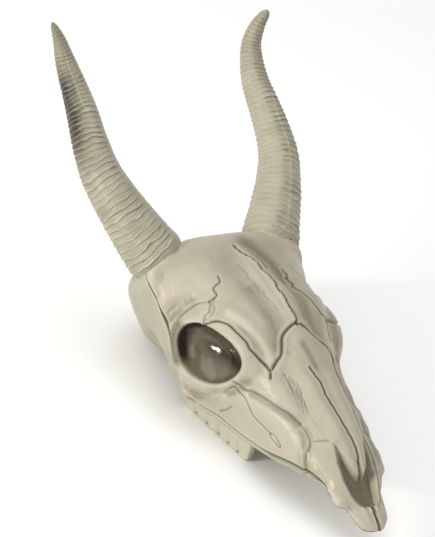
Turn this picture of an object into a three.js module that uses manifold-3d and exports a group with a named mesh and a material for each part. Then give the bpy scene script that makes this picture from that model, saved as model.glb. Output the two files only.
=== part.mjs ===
// Moulded replica of an antelope skull: a front shell and a back shell that meet at a mould seam,
// tooth rows on the back shell, and two ringed horns held in sockets between the shells.
// Millimetres, +Z up, nose towards -Y, the animal's left side at +X.
import * as THREE from 'three';
import { mergeVertices } from 'three/addons/utils/BufferGeometryUtils.js';
import Module from 'manifold-3d';

const wasm = await Module();
wasm.setup();

// Driving dimensions. Skull points are measured from a datum in the forehead, between the horns.
const datumHeight = 94; // datum above the floor, which the tooth tips touch
const datumBehind = 52; // datum behind the middle of the whole length
const gap = 0.3; // clearance between pieces that meet

// Six rails run from the nose to the crown over the left half. Each has one point per station:
// nose tip, premaxilla, nasal tips, muzzle, cheek, nasion, orbit, temple, forehead, horn base.
const nosePole = [0, -264, -72];
const crownPole = [0, 38, -2];
const midline = [
  [0, -257, -66], [0, -241, -57], [0, -215, -36], [0, -188, -21.5], [0, -155, -9],
  [0, -117, 11.5], [0, -86, 27], [0, -52, 32.5], [0, -20, 33], [0, 8, 29],
];
const nasalRidge = [
  [9, -257, -66.5], [10, -241, -57.5], [13, -214, -37], [15, -188, -24], [18, -155, -12],
  [27, -117, 3], [37, -86, 16], [39, -52, 22], [39, -17, 27], [35, 11, 25],
];
const browLine = [
  [14.5, -257, -68], [19, -241, -62], [26, -214, -47], [32, -188, -40], [38, -157, -28],
  [46, -118, -15], [60, -84, -8], [66, -48, -5], [69, -16, 12], [65, 4, 20],
];
const seamLine = [
  [13, -257, -73], [19.5, -240, -65.5], [27, -214, -56.5], [34, -190, -56], [42, -156, -63.5],
  [53, -112, -64.5], [65, -78.5, -63], [74.5, -47, -42], [74, -20, -15], [73, 7, 1],
];
const toothLine = [
  [8, -256, -76], [13, -240, -71], [19, -214, -63], [25, -190, -63], [32, -156, -70],
  [37, -112, -72], [40, -74, -72], [46, -25, -67], [53, 18, -60], [48, 48, -34],
];
const palateLine = [
  [0, -256, -76], [0, -240, -72], [0, -214, -65], [0, -190, -65], [0, -156, -70],
  [0, -112, -71], [0, -72, -72], [0, -20, -82], [0, 34, -95.5], [0, 66, -50],
];
const rowSteps = 5; // mesh rows from one station to the next
const orbitRowSteps = 8; // the same round the orbits
const orbitStations = [6, 9];
const frontColumnSteps = 4; // mesh columns from one rail to the next, front shell
const orbitColumnSteps = 7;
const orbitRails = [1, 3];
const backColumnSteps = 4;
const partingSteps = 4; // mesh columns across the parting face
const seamRail = 3; // place of the seam line in the order of the rails
const railsAround = 10;
// How far the seam climbs from its rail towards the brow line at each station, as a share of the way.
const seamClimb = [0, 0, 0, 0, 0, 0, 0, 0.02, 0.53, 0.17, 0.25, 0];

// Orbits: a rim in one plane, with a bowl sunk behind it.
const orbit = {
  centre: new THREE.Vector3(62.5, -84.3, -19),
  facing: new THREE.Vector3(0.87, -0.385, 0.3).normalize(),
  halfLength: 30.5,
  halfHeight: 21.5,
  corner: 0.075, // three blunt corners, as a share of the rim radius
  cornerTurn: 0.27, // radians
  lean: 0.024,
  depth: 18,
  lip: 1.2,
  lipPlace: 1.1, // in rim radii
  lipWidth: 0.1,
  twist: 9, // how far the rim leaves its plane: out at the brow and the cheek bone's back
  flare: 1.6, // rim radii at which the surround runs out
  reach: 34, // how far behind the rim plane the surround still counts
};

// Cheek plate: the raised side of the upper jaw, with a step at its front and upper edge.
const cheek = {
  height: 2.6,
  edge: [
    [3.66, 3.3], [3.78, 2.4], [3.9, 1.95], [4.1, 1.7], [4.4, 1.63], [4.85, 1.78], [5.4, 1.95], [5.8, 2.15],
    [6.1, 2.24], [6.5, 2.4],
  ], // station and rail, from the front corner back along the top
  front: [3.66, 3.86], // stations over which the plate rises
  back: [5.5, 6.3], // stations over which it runs out
  step: 0.22, // rails over which its top edge rises
  underside: 3.8, // rail at which it has run out below the seam
};

// Nasal opening: outer edge and nasal bone edge on the left side, and its sloping floor.
const nasalOpening = {
  outerEdge: [[15.8, -203], [18, -214], [17.5, -225], [14.8, -236], [10.5, -246], [5, -251]],
  frontEnd: -253,
  nasalTip: -230,
  nasalEdge: [[5, -229.5], [9.4, -225.5], [12.6, -217], [14.2, -209]],
  floorBack: { y: -203, z: -44 },
  floorFront: { y: -248, z: -62.5 },
  top: 10,
};

// Back of the braincase: two condyles beside the spinal opening.
const condyle = { place: [14, 51, -64], size: [11, 14, 16] };
const spinalOpening = { place: [0, 67, -54], size: [10, 10, 11] };

// Tooth rows: six cheek teeth a side, each a block with two cusps on the floor.
const teeth = {
  perSide: 6,
  backY: -56,
  frontY: -138,
  backX: 41,
  frontX: 34.5,
  rootZ: -67,
  tipZ: -datumHeight,
  molar: { halfLength: 7.2, halfWidth: 7.5 },
  premolar: { halfLength: 6, halfWidth: 5.5 },
  space: 0.4, // between one tooth and the next, at the gum
  cuspFlat: 1.6, // half length of a cusp's worn tip
  notch: 3.2, // depth of the notch between cusps
  shoulder: 4, // height over which a tooth narrows to its cusps
  tipWidth: 0.6, // tip width as a share of the root's
};

// Horns: centre line and radius of the left horn, from inside its socket to the tip.
const hornCentre = [
  [49, 1, -2], [56, 9.5, 6], [60, 15, 11], [66, 23.5, 18], [76.7, 39, 32], [86, 55, 45.7], [93, 72, 60],
  [94.4, 94, 76.6], [93.3, 111, 89], [93.3, 129.5, 101.7], [97, 149, 120.6], [103, 156, 137],
  [111, 158.5, 150],
];
const hornRadius = [16, 21.5, 24.7, 23.6, 21.2, 19, 17, 14.8, 13.3, 11.5, 8.5, 5.8, 2];
const horn = {
  sides: 12,
  ringStart: 18, // along the centre line from the root
  ringEnd: 212,
  basePitch: 7.3,
  tipPitch: 4.6,
  baseRelief: 1.3,
  tipRelief: 0.5,
  smoothSteps: 6, // rows over the smooth tip
  tipRadius: 2,
};
const hornAxis = new THREE.Vector3(0.48, 0.68, 0.56).normalize(); // at the left horn's base
const hornLip = 40.5; // distance along that axis at which the shells end
const horizon = new THREE.Vector3(0.7, -0.7, 0.1); // front outer side, where a horn's first edge lies

const toVector = ([x, y, z]) => new THREE.Vector3(x, y, z);
const { lerp, smoothstep } = THREE.MathUtils;

function railCurve(points) {
  return new THREE.CatmullRomCurve3([nosePole, ...points, crownPole].map(toVector), false, 'catmullrom', 0.5);
}

const rails = [midline, nasalRidge, browLine, seamLine, toothLine, palateLine].map(railCurve);
const stations = midline.length + 1;

// Closed cross-section of the skull at a station: the six rail points and their mirror images.
function sectionAt(station) {
  const left = rails.map((rail) => rail.getPoint(station / stations));
  const right = left.slice(1, -1).reverse().map((p) => new THREE.Vector3(-p.x, p.y, p.z));
  return new THREE.CatmullRomCurve3([...left, ...right], true, 'catmullrom', 0.5);
}

const orbitAlong = new THREE.Vector3(0, 0, 1).cross(orbit.facing).normalize();
const orbitUp = new THREE.Vector3().crossVectors(orbit.facing, orbitAlong);

// Radius of an orbit's rim at an angle, against that of a plain ellipse.
function rimShape(angle) {
  return 1 + orbit.corner * Math.sin(3 * angle + orbit.cornerTurn) + orbit.lean * Math.sin(2 * angle);
}

// Draws the surface round an orbit onto the plane of its rim.
function drawToOrbit(point) {
  const side = Math.sign(point.x) || 1;
  const offset = new THREE.Vector3(point.x * side, point.y, point.z).sub(orbit.centre);
  const height = offset.dot(orbit.facing);
  if (height < -orbit.reach) return point;
  const along = offset.dot(orbitAlong) / orbit.halfLength;
  const up = offset.dot(orbitUp) / orbit.halfHeight;
  const radius = Math.hypot(along, up) / rimShape(Math.atan2(up, along));
  const share = 1 - smoothstep(radius, orbit.lipPlace, orbit.flare);
  const lip = orbit.lip * Math.exp(-(((radius - orbit.lipPlace) / orbit.lipWidth) ** 2));
  const rim = lip - orbit.twist * along * up;
  const shift = orbit.facing.clone().multiplyScalar(share * (rim - height));
  return point.add(new THREE.Vector3(shift.x * side, shift.y, shift.z));
}

// Value at a place along a list of [place, value] pairs, straight from pair to pair.
function valueAt(pairs, place) {
  const next = pairs.findIndex(([at]) => at > place);
  if (next < 0) return pairs.at(-1)[1];
  if (next === 0) return pairs[0][1];
  const [[from, first], [to, second]] = [pairs[next - 1], pairs[next]];
  return lerp(first, second, (place - from) / (to - from));
}

// Raises the cheek plate outwards. Its top edge bends down to meet its front edge.
function raiseCheek(point, station, rail) {
  const fromMiddle = rail > railsAround / 2 ? railsAround - rail : rail;
  const edge = valueAt(cheek.edge, station);
  const below = smoothstep(fromMiddle, edge, edge + cheek.step);
  const behind = smoothstep(station, ...cheek.front);
  const before = 1 - smoothstep(station, ...cheek.back);
  const above = 1 - smoothstep(fromMiddle, seamRail, cheek.underside);
  point.x += Math.sign(point.x) * cheek.height * below * above * behind * before;
  return point;
}

function skullPoint(section, station, rail) {
  const around = (rail + railsAround) % railsAround;
  const point = section.getPoint(around / railsAround);
  return drawToOrbit(raiseCheek(point, station, around));
}

// A closed skin over a row of closed rings, with a pole at each end. Each four-sided cell is split
// along its shorter diagonal.
function skinGeometry(rings, startPole, endPole) {
  const count = rings[0].length;
  const points = [startPole, ...rings.flat(), endPole];
  const last = points.length - 1;
  const at = (row, column) => 1 + row * count + (column % count);
  const apart = (a, b) => points[a].distanceTo(points[b]);
  const triangles = [];
  for (let column = 0; column < count; column += 1) {
    triangles.push(0, at(0, column + 1), at(0, column));
    triangles.push(last, at(rings.length - 1, column), at(rings.length - 1, column + 1));
    for (let row = 0; row + 1 < rings.length; row += 1) {
      const a = at(row, column);
      const b = at(row, column + 1);
      const c = at(row + 1, column + 1);
      const d = at(row + 1, column);
      if (apart(b, d) < apart(a, c)) triangles.push(a, b, d, b, c, d);
      else triangles.push(a, b, c, a, c, d);
    }
  }
  return new THREE.BufferGeometry().setFromPoints(points).setIndex(triangles);
}

// Mesh lines over a range, closer together inside the fine part of it.
function meshLines(from, to, steps, [fineFrom, fineTo], fineSteps) {
  const lines = [];
  for (let whole = from; whole < to; whole += 1) {
    const place = Math.abs(whole + 0.5);
    const count = place > fineFrom && place < fineTo ? fineSteps : steps;
    for (let step = 0; step < count; step += 1) lines.push(whole + step / count);
  }
  return [...lines, to];
}

const seamCourse = new THREE.CatmullRomCurve3(
  seamClimb.map((climb) => new THREE.Vector3(climb, 0, 0)), false, 'catmullrom', 0.5,
);

// Moves a mesh column between the brow line and the tooth line, so that the seam's own column climbs.
function besideSeam(rail, station) {
  const onLeft = rail >= 0 && rail <= railsAround / 2;
  const fromMiddle = rail > railsAround / 2 ? railsAround - rail : Math.abs(rail);
  const share = Math.max(0, 1 - Math.abs(fromMiddle - seamRail));
  const climb = share * seamCourse.getPoint(station / stations).x;
  return onLeft ? rail - climb : rail + climb;
}

// One shell: the skull surface between two rails, closed by a parting face ruled across X.
function shellGeometry(columns, drop) {
  const lower = (point) => point.setZ(point.z - drop);
  const rows = meshLines(0, stations, rowSteps, orbitStations, orbitRowSteps).slice(1, -1);
  const rings = rows.map((station) => {
    const section = sectionAt(station);
    const ring = columns.map((rail) => skullPoint(section, station, besideSeam(rail, station)));
    const first = lower(ring.at(0));
    const last = lower(ring.at(-1));
    for (let step = 1; step < partingSteps; step += 1) {
      ring.push(new THREE.Vector3().lerpVectors(last, first, step / partingSteps));
    }
    return ring;
  });
  return skinGeometry(rings, lower(toVector(nosePole)), lower(toVector(crownPole)));
}

// Horn stations: [distance along the centre line, ring relief], two to each ring.
function hornStations(length) {
  const run = horn.ringEnd - horn.ringStart;
  const firstRate = run / horn.basePitch;
  const growth = (run / horn.tipPitch - firstRate) / 2;
  const halfRings = Math.floor(2 * (firstRate + growth));
  const list = [[0, 0], [horn.ringStart / 2, 0]];
  for (let half = 0; half <= halfRings; half += 1) {
    const share = (Math.sqrt(firstRate ** 2 + 2 * growth * half) - firstRate) / (2 * growth);
    const relief = lerp(horn.baseRelief, horn.tipRelief, share);
    list.push([horn.ringStart + share * run, half % 2 ? relief : 0]);
  }
  const ringed = list.at(-1)[0];
  for (let step = 1; step < horn.smoothSteps; step += 1) {
    list.push([lerp(ringed, length, step / horn.smoothSteps), 0]);
  }
  return list;
}

// A horn, or its socket when grown by the clearance. side is 1 for the left and -1 for the right.
function hornGeometry(side, grow) {
  const centre = new THREE.CatmullRomCurve3(hornCentre.map(toVector), false, 'catmullrom', 0.5);
  centre.arcLengthDivisions = 400;
  const radii = hornRadius.map((radius) => new THREE.Vector3(radius, 0, 0));
  const taper = new THREE.CatmullRomCurve3(radii, false, 'catmullrom', 0.5);
  const length = centre.getLength();
  const rings = hornStations(length).map(([distance, relief]) => {
    const t = centre.getUtoTmapping(distance / length);
    const middle = centre.getPoint(t);
    const tangent = centre.getTangent(t);
    const first = horizon.clone().addScaledVector(tangent, -horizon.dot(tangent)).normalize();
    const second = new THREE.Vector3().crossVectors(tangent, first);
    const radius = Math.max(taper.getPoint(t).x, horn.tipRadius) - relief + grow;
    const ring = [];
    for (let step = 0; step < horn.sides; step += 1) {
      const angle = (2 * Math.PI * step) / horn.sides;
      const point = middle.clone().addScaledVector(first, radius * Math.cos(angle));
      point.addScaledVector(second, radius * Math.sin(angle));
      ring.push(point);
    }
    return ring;
  });
  const root = centre.getPoint(0).addScaledVector(centre.getTangent(0), -grow);
  rings[0].forEach((point) => point.addScaledVector(centre.getTangent(0), -grow));
  const tip = centre.getPoint(1).addScaledVector(centre.getTangent(1), horn.tipRadius + grow);
  const geometry = skinGeometry(rings, root, tip);
  return side > 0 ? geometry : mirrored(geometry);
}

// Mirror image across the middle plane, with its faces turned to point out again.
function mirrored(geometry) {
  const copy = geometry.clone().applyMatrix4(new THREE.Matrix4().makeScale(-1, 1, 1));
  const index = copy.index.array;
  for (let i = 0; i < index.length; i += 3) {
    [index[i + 1], index[i + 2]] = [index[i + 2], index[i + 1]];
  }
  return copy;
}

function solidOf(geometry) {
  const bare = geometry.clone();
  bare.deleteAttribute('normal');
  bare.deleteAttribute('uv');
  const merged = mergeVertices(bare);
  const mesh = new wasm.Mesh({
    numProp: 3,
    vertProperties: new Float32Array(merged.attributes.position.array),
    triVerts: new Uint32Array(merged.index.array),
  });
  mesh.merge();
  return new wasm.Manifold(mesh);
}

// The largest body of a solid, as a geometry with flat-shaded faces.
function geometryOf(solid) {
  const [largest] = solid.decompose().sort((a, b) => b.volume() - a.volume());
  const { vertProperties, triVerts, numProp } = largest.getMesh();
  const geometry = new THREE.BufferGeometry();
  const positions = new THREE.InterleavedBuffer(vertProperties, numProp);
  geometry.setAttribute('position', new THREE.InterleavedBufferAttribute(positions, 3, 0));
  geometry.setIndex(new THREE.BufferAttribute(triVerts, 1));
  geometry.computeVertexNormals();
  return geometry;
}

// Ellipsoid bowl behind an orbit's rim.
function orbitBowl(side) {
  const bowl = new THREE.SphereGeometry(1, 24, 14);
  const position = bowl.attributes.position;
  for (let i = 0; i < position.count; i += 1) {
    const shape = rimShape(Math.atan2(position.getY(i), position.getX(i)));
    position.setXY(i, position.getX(i) * shape, position.getY(i) * shape);
  }
  const frame = new THREE.Matrix4().makeBasis(orbitAlong, orbitUp, orbit.facing);
  frame.scale(new THREE.Vector3(orbit.halfLength, orbit.halfHeight, orbit.depth));
  frame.setPosition(orbit.centre);
  bowl.applyMatrix4(frame);
  return solidOf(side > 0 ? bowl : mirrored(bowl));
}

function ellipsoid([x, y, z], [halfX, halfY, halfZ]) {
  const ball = new THREE.SphereGeometry(1, 14, 9);
  ball.scale(halfX, halfY, halfZ);
  ball.translate(x, y, z);
  return solidOf(ball);
}

function condyles() {
  const [x, y, z] = condyle.place;
  return ellipsoid([x, y, z], condyle.size).add(ellipsoid([-x, y, z], condyle.size));
}

// Nasal opening: its outline seen from above, cut down to the sloping floor.
function nasalCut() {
  const { outerEdge, nasalEdge, frontEnd, nasalTip, floorBack, floorFront, top } = nasalOpening;
  const flip = ([x, y]) => [-x, y];
  const leftSide = [...nasalEdge, ...outerEdge];
  const rightSide = [...outerEdge].reverse().concat([...nasalEdge].reverse()).map(flip);
  const outline = [[0, nasalTip], ...leftSide, [0, frontEnd], ...rightSide];
  const shape = new THREE.Shape(outline.map(([x, y]) => new THREE.Vector2(x, y)));
  const cut = new THREE.ExtrudeGeometry(shape, { depth: 1, bevelEnabled: false });
  const position = cut.attributes.position;
  const slope = (floorFront.z - floorBack.z) / (floorFront.y - floorBack.y);
  for (let i = 0; i < position.count; i += 1) {
    const floor = floorBack.z + slope * (position.getY(i) - floorBack.y);
    position.setZ(i, position.getZ(i) > 0.5 ? top : floor);
  }
  return solidOf(cut);
}

// One tooth: its side view with two cusps, carried across the jaw and narrowed towards the tips.
function tooth(x, y, { halfLength, halfWidth }) {
  const { rootZ, tipZ, cuspFlat, notch, shoulder, tipWidth } = teeth;
  const cusp = halfLength / 2;
  const half = [
    [0, tipZ + notch],
    [cusp - cuspFlat, tipZ],
    [cusp + cuspFlat, tipZ],
    [halfLength * 0.9, tipZ + shoulder],
    [halfLength, rootZ],
  ];
  const other = half.slice(1).reverse().map(([along, z]) => [-along, z]);
  const outline = [...half, ...other].map(([along, z]) => new THREE.Vector2(along, z));
  const block = new THREE.ExtrudeGeometry(new THREE.Shape(outline), { depth: 2, bevelEnabled: false });
  const position = block.attributes.position;
  for (let i = 0; i < position.count; i += 1) {
    const along = position.getX(i);
    const z = position.getY(i);
    const width = halfWidth * lerp(tipWidth, 1, (z - tipZ) / (rootZ - tipZ));
    position.setXYZ(i, x + (position.getZ(i) - 1) * width, y + along, z);
  }
  return solidOf(block);
}

function toothRows() {
  const { perSide, backY, frontY, backX, frontX, molar, premolar, space } = teeth;
  const blocks = [];
  let y = backY;
  for (let place = 0; place < perSide; place += 1) {
    const size = place < perSide / 2 ? molar : premolar;
    y -= size.halfLength + space / 2;
    const x = lerp(backX, frontX, (y - backY) / (frontY - backY));
    blocks.push(tooth(x, y, size), tooth(-x, y, size));
    y -= size.halfLength + space / 2;
  }
  return wasm.Manifold.union(blocks);
}

// Everything below the floor, so that what rests there ends in a flat.
function belowFloor() {
  const [width, length, depth] = [400, 600, 40];
  const floor = new THREE.BoxGeometry(width, length, depth);
  floor.translate(0, 0, -datumHeight - depth / 2);
  return solidOf(floor);
}

const frontPaint = new THREE.MeshStandardMaterial({ color: 0xc9c1ad, roughness: 0.42, metalness: 0 });
const bareMoulding = new THREE.MeshStandardMaterial({ color: 0xcdc8a6, roughness: 0.45, metalness: 0 });
const hornPaint = new THREE.MeshStandardMaterial({ color: 0xb9b296, roughness: 0.5, metalness: 0 });

function node(name, geometry, material) {
  const mesh = new THREE.Mesh(geometry, material);
  mesh.name = name;
  return mesh;
}

// Ends a shell in a flat across each horn's base.
function trimAtHorns(shell) {
  const { x, y, z } = hornAxis;
  return shell.trimByPlane([-x, -y, -z], -hornLip).trimByPlane([x, -y, -z], -hornLip);
}

const sockets = solidOf(hornGeometry(1, gap)).add(solidOf(hornGeometry(-1, gap)));
const orbits = orbitBowl(1).add(orbitBowl(-1));
const frontColumns = meshLines(-seamRail, seamRail, frontColumnSteps, orbitRails, orbitColumnSteps);
const backColumns = meshLines(
  seamRail, railsAround - seamRail, backColumnSteps, orbitRails, orbitColumnSteps,
);
const frontShell = trimAtHorns(solidOf(shellGeometry(frontColumns, 0)))
  .subtract(sockets)
  .subtract(orbits)
  .subtract(nasalCut());
const backShell = trimAtHorns(solidOf(shellGeometry(backColumns, gap)))
  .add(condyles())
  .subtract(ellipsoid(spinalOpening.place, spinalOpening.size))
  .subtract(belowFloor())
  .add(toothRows())
  .subtract(sockets)
  .subtract(orbits);

const skull = new THREE.Group();
skull.position.set(0, datumBehind, datumHeight);
skull.add(
  node('skull_front', geometryOf(frontShell), frontPaint),
  node('skull_back', geometryOf(backShell), bareMoulding),
  node('horn_left', hornGeometry(1, 0), hornPaint),
  node('horn_right', hornGeometry(-1, 0), hornPaint),
);

export default skull;
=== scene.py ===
import bpy
import math
import numpy as np
from mathutils import Matrix


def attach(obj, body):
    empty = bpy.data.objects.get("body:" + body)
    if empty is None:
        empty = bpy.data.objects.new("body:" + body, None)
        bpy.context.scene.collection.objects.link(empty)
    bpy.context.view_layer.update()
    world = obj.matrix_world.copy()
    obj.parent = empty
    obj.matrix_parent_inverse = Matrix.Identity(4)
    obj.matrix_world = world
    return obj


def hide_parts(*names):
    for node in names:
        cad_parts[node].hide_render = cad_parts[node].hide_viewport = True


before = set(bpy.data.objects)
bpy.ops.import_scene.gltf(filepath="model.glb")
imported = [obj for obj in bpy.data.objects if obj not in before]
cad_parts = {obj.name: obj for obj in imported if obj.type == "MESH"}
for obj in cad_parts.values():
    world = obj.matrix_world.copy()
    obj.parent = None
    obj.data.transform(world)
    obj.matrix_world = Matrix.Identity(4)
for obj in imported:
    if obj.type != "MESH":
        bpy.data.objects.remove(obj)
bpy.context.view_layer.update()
print("frame loaded:", ", ".join(sorted(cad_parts)))
mmPerMetre = 1000

# Shapes are worked out in millimetres from a datum in the forehead, nose towards -Y, and placed at the end.
# Six rails run from nose to crown over the left half, with one point at each station.
skull = {
    "datum": (0, 52, 94),  # the datum's place in the frame
    "nosePole": (0, -264, -72),
    "crownPole": (0, 38, -2),
    "midline": [
        (0, -257, -66), (0, -241, -57), (0, -215, -36), (0, -188, -21.5), (0, -155, -9),
        (0, -117, 11.5), (0, -86, 27), (0, -52, 32.5), (0, -20, 33), (0, 8, 29),
    ],
    "nasalRidge": [
        (9, -257, -66.5), (10, -241, -57.5), (13, -214, -37), (15, -188, -24), (18, -155, -12),
        (27, -117, 3), (37, -86, 16), (39, -52, 22), (39, -17, 27), (35, 11, 25),
    ],
    "browLine": [
        (14.5, -257, -68), (19, -241, -62), (26, -214, -47), (32, -188, -40), (38, -157, -28),
        (46, -118, -15), (60, -84, -8), (66, -48, -5), (69, -16, 12), (65, 4, 20),
    ],
    "seamLine": [
        (13, -257, -73), (19.5, -240, -65.5), (27, -214, -56.5), (34, -190, -56), (42, -156, -63.5),
        (53, -112, -64.5), (65, -78.5, -63), (74.5, -47, -42), (74, -20, -15), (73, 7, 1),
    ],
    "toothLine": [
        (8, -256, -76), (13, -240, -71), (19, -214, -63), (25, -190, -63), (32, -156, -70),
        (37, -112, -72), (40, -74, -72), (46, -25, -67), (53, 18, -60), (48, 48, -34),
    ],
    "palateLine": [
        (0, -256, -76), (0, -240, -72), (0, -214, -65), (0, -190, -65), (0, -156, -70),
        (0, -112, -71), (0, -72, -72), (0, -20, -82), (0, 34, -95.5), (0, 66, -50),
    ],
    "railNames": ["midline", "nasalRidge", "browLine", "seamLine", "toothLine", "palateLine"],
    "seamRail": 3,
    "seamClimb": [0, 0, 0, 0, 0, 0, 0, 0.02, 0.53, 0.17, 0.25, 0],  # rails towards the brow line, by station
    "railsAround": 10,
    "stations": 11,
    "fineSteps": 2000,  # along the midline, to space rows by length
    "besideTeeth": (3.9, 4.5, 6.6, 7.1),  # stations over which the seam runs by the teeth
}


def smoothStep(low, high, value):  # 0 below low, 1 above high, an S curve between
    t = np.clip((value - low) / (high - low), 0, 1)
    return t * t * (3 - 2 * t)


def bell(value, width):  # 1 at 0, falling off to either side as a bell curve
    return np.exp(-(value / width) ** 2)


def deepen(paint, name, amount):  # where paints meet, the stronger one shows
    paint[name] = np.maximum(paint[name], amount)


def plateau(value, ends):  # rises over the first two ends, falls over the last two
    start, full, fading, gone = ends
    return smoothStep(start, full, value) * (1 - smoothStep(fading, gone, value))


def unit(vector):
    vector = np.asarray(vector, float)
    return vector / np.linalg.norm(vector, axis=-1, keepdims=True)


# Catmull-Rom weights: each place is a cubic blend of the four points round it; past an open end the
# next point is the end reflected through its neighbour.
def splineWeights(count, places, closed=False):
    places = np.asarray(places, float)
    rows = np.arange(len(places))
    cell = np.floor(places).astype(int)
    if not closed:
        cell = np.clip(cell, 0, count - 2)
    t = places - cell
    blends = [
        -t / 2 + t ** 2 - t ** 3 / 2,
        1 - 2.5 * t ** 2 + 1.5 * t ** 3,
        t / 2 + 2 * t ** 2 - 1.5 * t ** 3,
        -t ** 2 / 2 + t ** 3 / 2,
    ]
    weights = np.zeros((len(places), count))
    for offset, blend in enumerate(blends):
        index = cell + offset - 1
        if closed:
            np.add.at(weights, (rows, index % count), blend)
            continue
        ends = np.clip(index, 0, count - 1)
        inner = 2 * ends - index
        past = (index != ends).astype(float)
        np.add.at(weights, (rows, ends), blend * (1 + past))
        np.add.at(weights, (rows, inner), -blend * past)
    return weights


def splineThrough(points, places, closed=False):
    points = np.asarray(points, float)
    return splineWeights(len(points), places, closed) @ points


def lengthAlong(line):  # from the start of a line to each of its points
    return np.concatenate([[0], np.cumsum(np.linalg.norm(np.diff(line, axis=0), axis=1))])


# The section at each station: its six rail points, then the mirror images of the inner four, in a ring.
def sectionRings(stations):
    rails = [
        splineThrough([skull["nosePole"], *skull[name], skull["crownPole"]], stations)
        for name in skull["railNames"]
    ]
    mirrored = [rail * (-1, 1, 1) for rail in rails[4:0:-1]]
    return np.stack(rails + mirrored)


def fromMidline(rail):  # rails from the top of the section, down either side
    around = rail % skull["railsAround"]
    return np.minimum(around, skull["railsAround"] - around)


# columns between the brow line and the tooth line move over, so that the seam's own column climbs
def besideSeam(stations, rails):
    climb = splineThrough(np.array(skull["seamClimb"])[:, None], stations)
    share = np.clip(1 - np.abs(fromMidline(rails) - skull["seamRail"]), 0, 1)
    onLeft = rails % skull["railsAround"] <= skull["railsAround"] / 2
    return rails + np.where(onLeft, -1, 1) * share * climb


# skull surface on a grid: a closed spline round the section at every station
def skullGrid(stations, rails):
    railGrid = besideSeam(stations, rails)
    stationGrid = np.broadcast_to(stations[:, None], railGrid.shape)
    weights = splineWeights(skull["railsAround"], railGrid.ravel(), closed=True)
    points = np.einsum("nmk,knd->nmd", weights.reshape(*railGrid.shape, -1), sectionRings(stations))
    return drawToOrbit(raiseCheek(points, stationGrid, railGrid))


# the same surface at single spots, each with its own station and rail
def skullSpots(stations, rails):
    weights = splineWeights(skull["railsAround"], rails, closed=True)
    points = np.einsum("pk,kpd->pd", weights, sectionRings(stations))
    return drawToOrbit(raiseCheek(points, np.asarray(stations), np.asarray(rails)))


orbit = {
    "centre": np.array((62.5, -84.3, -19)),
    "facing": unit((0.87, -0.385, 0.3)),
    "halfLength": 30.5,
    "halfHeight": 21.5,
    "corner": 0.075,  # three blunt corners, as a share of the rim radius
    "cornerTurn": 0.27,  # radians
    "lean": 0.024,
    "depth": 18,
    "tilt": (0.14, 0.25),  # added to the depth along and up, as shares of it
    "lip": 1.2,
    "lipPlace": 1.1,  # in rim radii
    "lipWidth": 0.1,
    "twist": 9,  # out at the brow and at the back of the cheek bone
    "flare": 1.6,  # rim radii at which the surround runs out
    "reach": 34,
}
orbit["along"] = unit(np.cross((0, 0, 1), orbit["facing"]))
orbit["up"] = np.cross(orbit["facing"], orbit["along"])


def sideFlip(points):  # factors that bring points over to the left side
    side = np.where(points[..., :1] < 0, -1, 1)
    return np.concatenate([side, np.ones_like(side), np.ones_like(side)], -1)


# place of points in a rim's own axes: along and up in rim radii, and height off its plane; the rim is an
# ellipse with its radius raised at three corners by a sine of three times the angle
def orbitPlace(points):
    offset = points * sideFlip(points) - orbit["centre"]
    along = offset @ orbit["along"] / orbit["halfLength"]
    up = offset @ orbit["up"] / orbit["halfHeight"]
    angle = np.arctan2(up, along)
    corners = orbit["corner"] * np.sin(3 * angle + orbit["cornerTurn"])
    shape = 1 + corners + orbit["lean"] * np.sin(2 * angle)
    return along / shape, up / shape, offset @ orbit["facing"]


# height goes to the rim's twisted plane, all of the way at the rim and not at all at the flare; inside the
# rim it drops by a round bowl's depth
def drawToOrbit(points):
    along, up, height = orbitPlace(points)
    radius = np.hypot(along, up)
    share = 1 - smoothStep(orbit["lipPlace"], orbit["flare"], radius)
    share = np.where(height < -orbit["reach"], 0, share)
    lip = orbit["lip"] * bell(radius - orbit["lipPlace"], orbit["lipWidth"])
    bowl = orbit["depth"] * np.clip(1 - (radius ** 2 + radius ** 4) / 2, 0, 1)
    bowl = bowl * (1 + orbit["tilt"][0] * along + orbit["tilt"][1] * up)
    rim = np.where(radius < 1, -bowl, lip) - orbit["twist"] * along * up * np.minimum(radius, 1)
    shift = (share * (rim - height))[..., None] * orbit["facing"]
    return points + shift * sideFlip(points)


# plate's top edge: rail over station, from its front corner back to below the orbit
cheek = {
    "height": 2.6,
    "edge": [
        (3.66, 3.3), (3.72, 2.8), (3.78, 2.4), (3.9, 1.95), (4.1, 1.7), (4.4, 1.63), (4.85, 1.78),
        (5.4, 1.95), (5.8, 2.15), (6.1, 2.24), (6.5, 2.4),
    ],
    "step": 0.2,  # rails over which the edge rises
    "fadeFrom": 5.5,  # stations over which the plate runs out below the orbit
    "fadeTo": 6.3,
    "underside": 3.8,
}


# plate height: an S curve across its edge, faded out behind and under the jaw
def cheekShare(station, rail):
    fromMiddle = fromMidline(rail)
    places, rails = np.array(cheek["edge"]).T
    edge = np.interp(station, places, rails)
    share = smoothStep(edge, edge + cheek["step"], fromMiddle)
    share = share * smoothStep(places[0], places[2], station)
    share = share * (1 - smoothStep(cheek["fadeFrom"], cheek["fadeTo"], station))
    return share * (1 - smoothStep(skull["seamRail"], cheek["underside"], fromMiddle))


def raiseCheek(points, station, rail):
    points = points.copy()
    points[..., 0] += np.sign(points[..., 0]) * cheek["height"] * cheekShare(station, rail)
    return points


rippleLook = {
    "waves": 7,
    "lengths": (0.7, 1.5),  # as shares of the size asked for
    "divide": 3,
}


def ripple(points, size, seed):  # sum of sines in random directions, a smooth unevenness of about -1 to 1
    waves = rippleLook["waves"]
    draw = np.random.default_rng(seed)
    directions = unit(draw.normal(size=(waves, 3))) * 2 * np.pi
    directions = directions / (size * draw.uniform(*rippleLook["lengths"], (waves, 1)))
    starts = draw.uniform(0, 2 * np.pi, waves)
    return np.sin(points @ directions.T + starts).sum(-1) / rippleLook["divide"]


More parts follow.
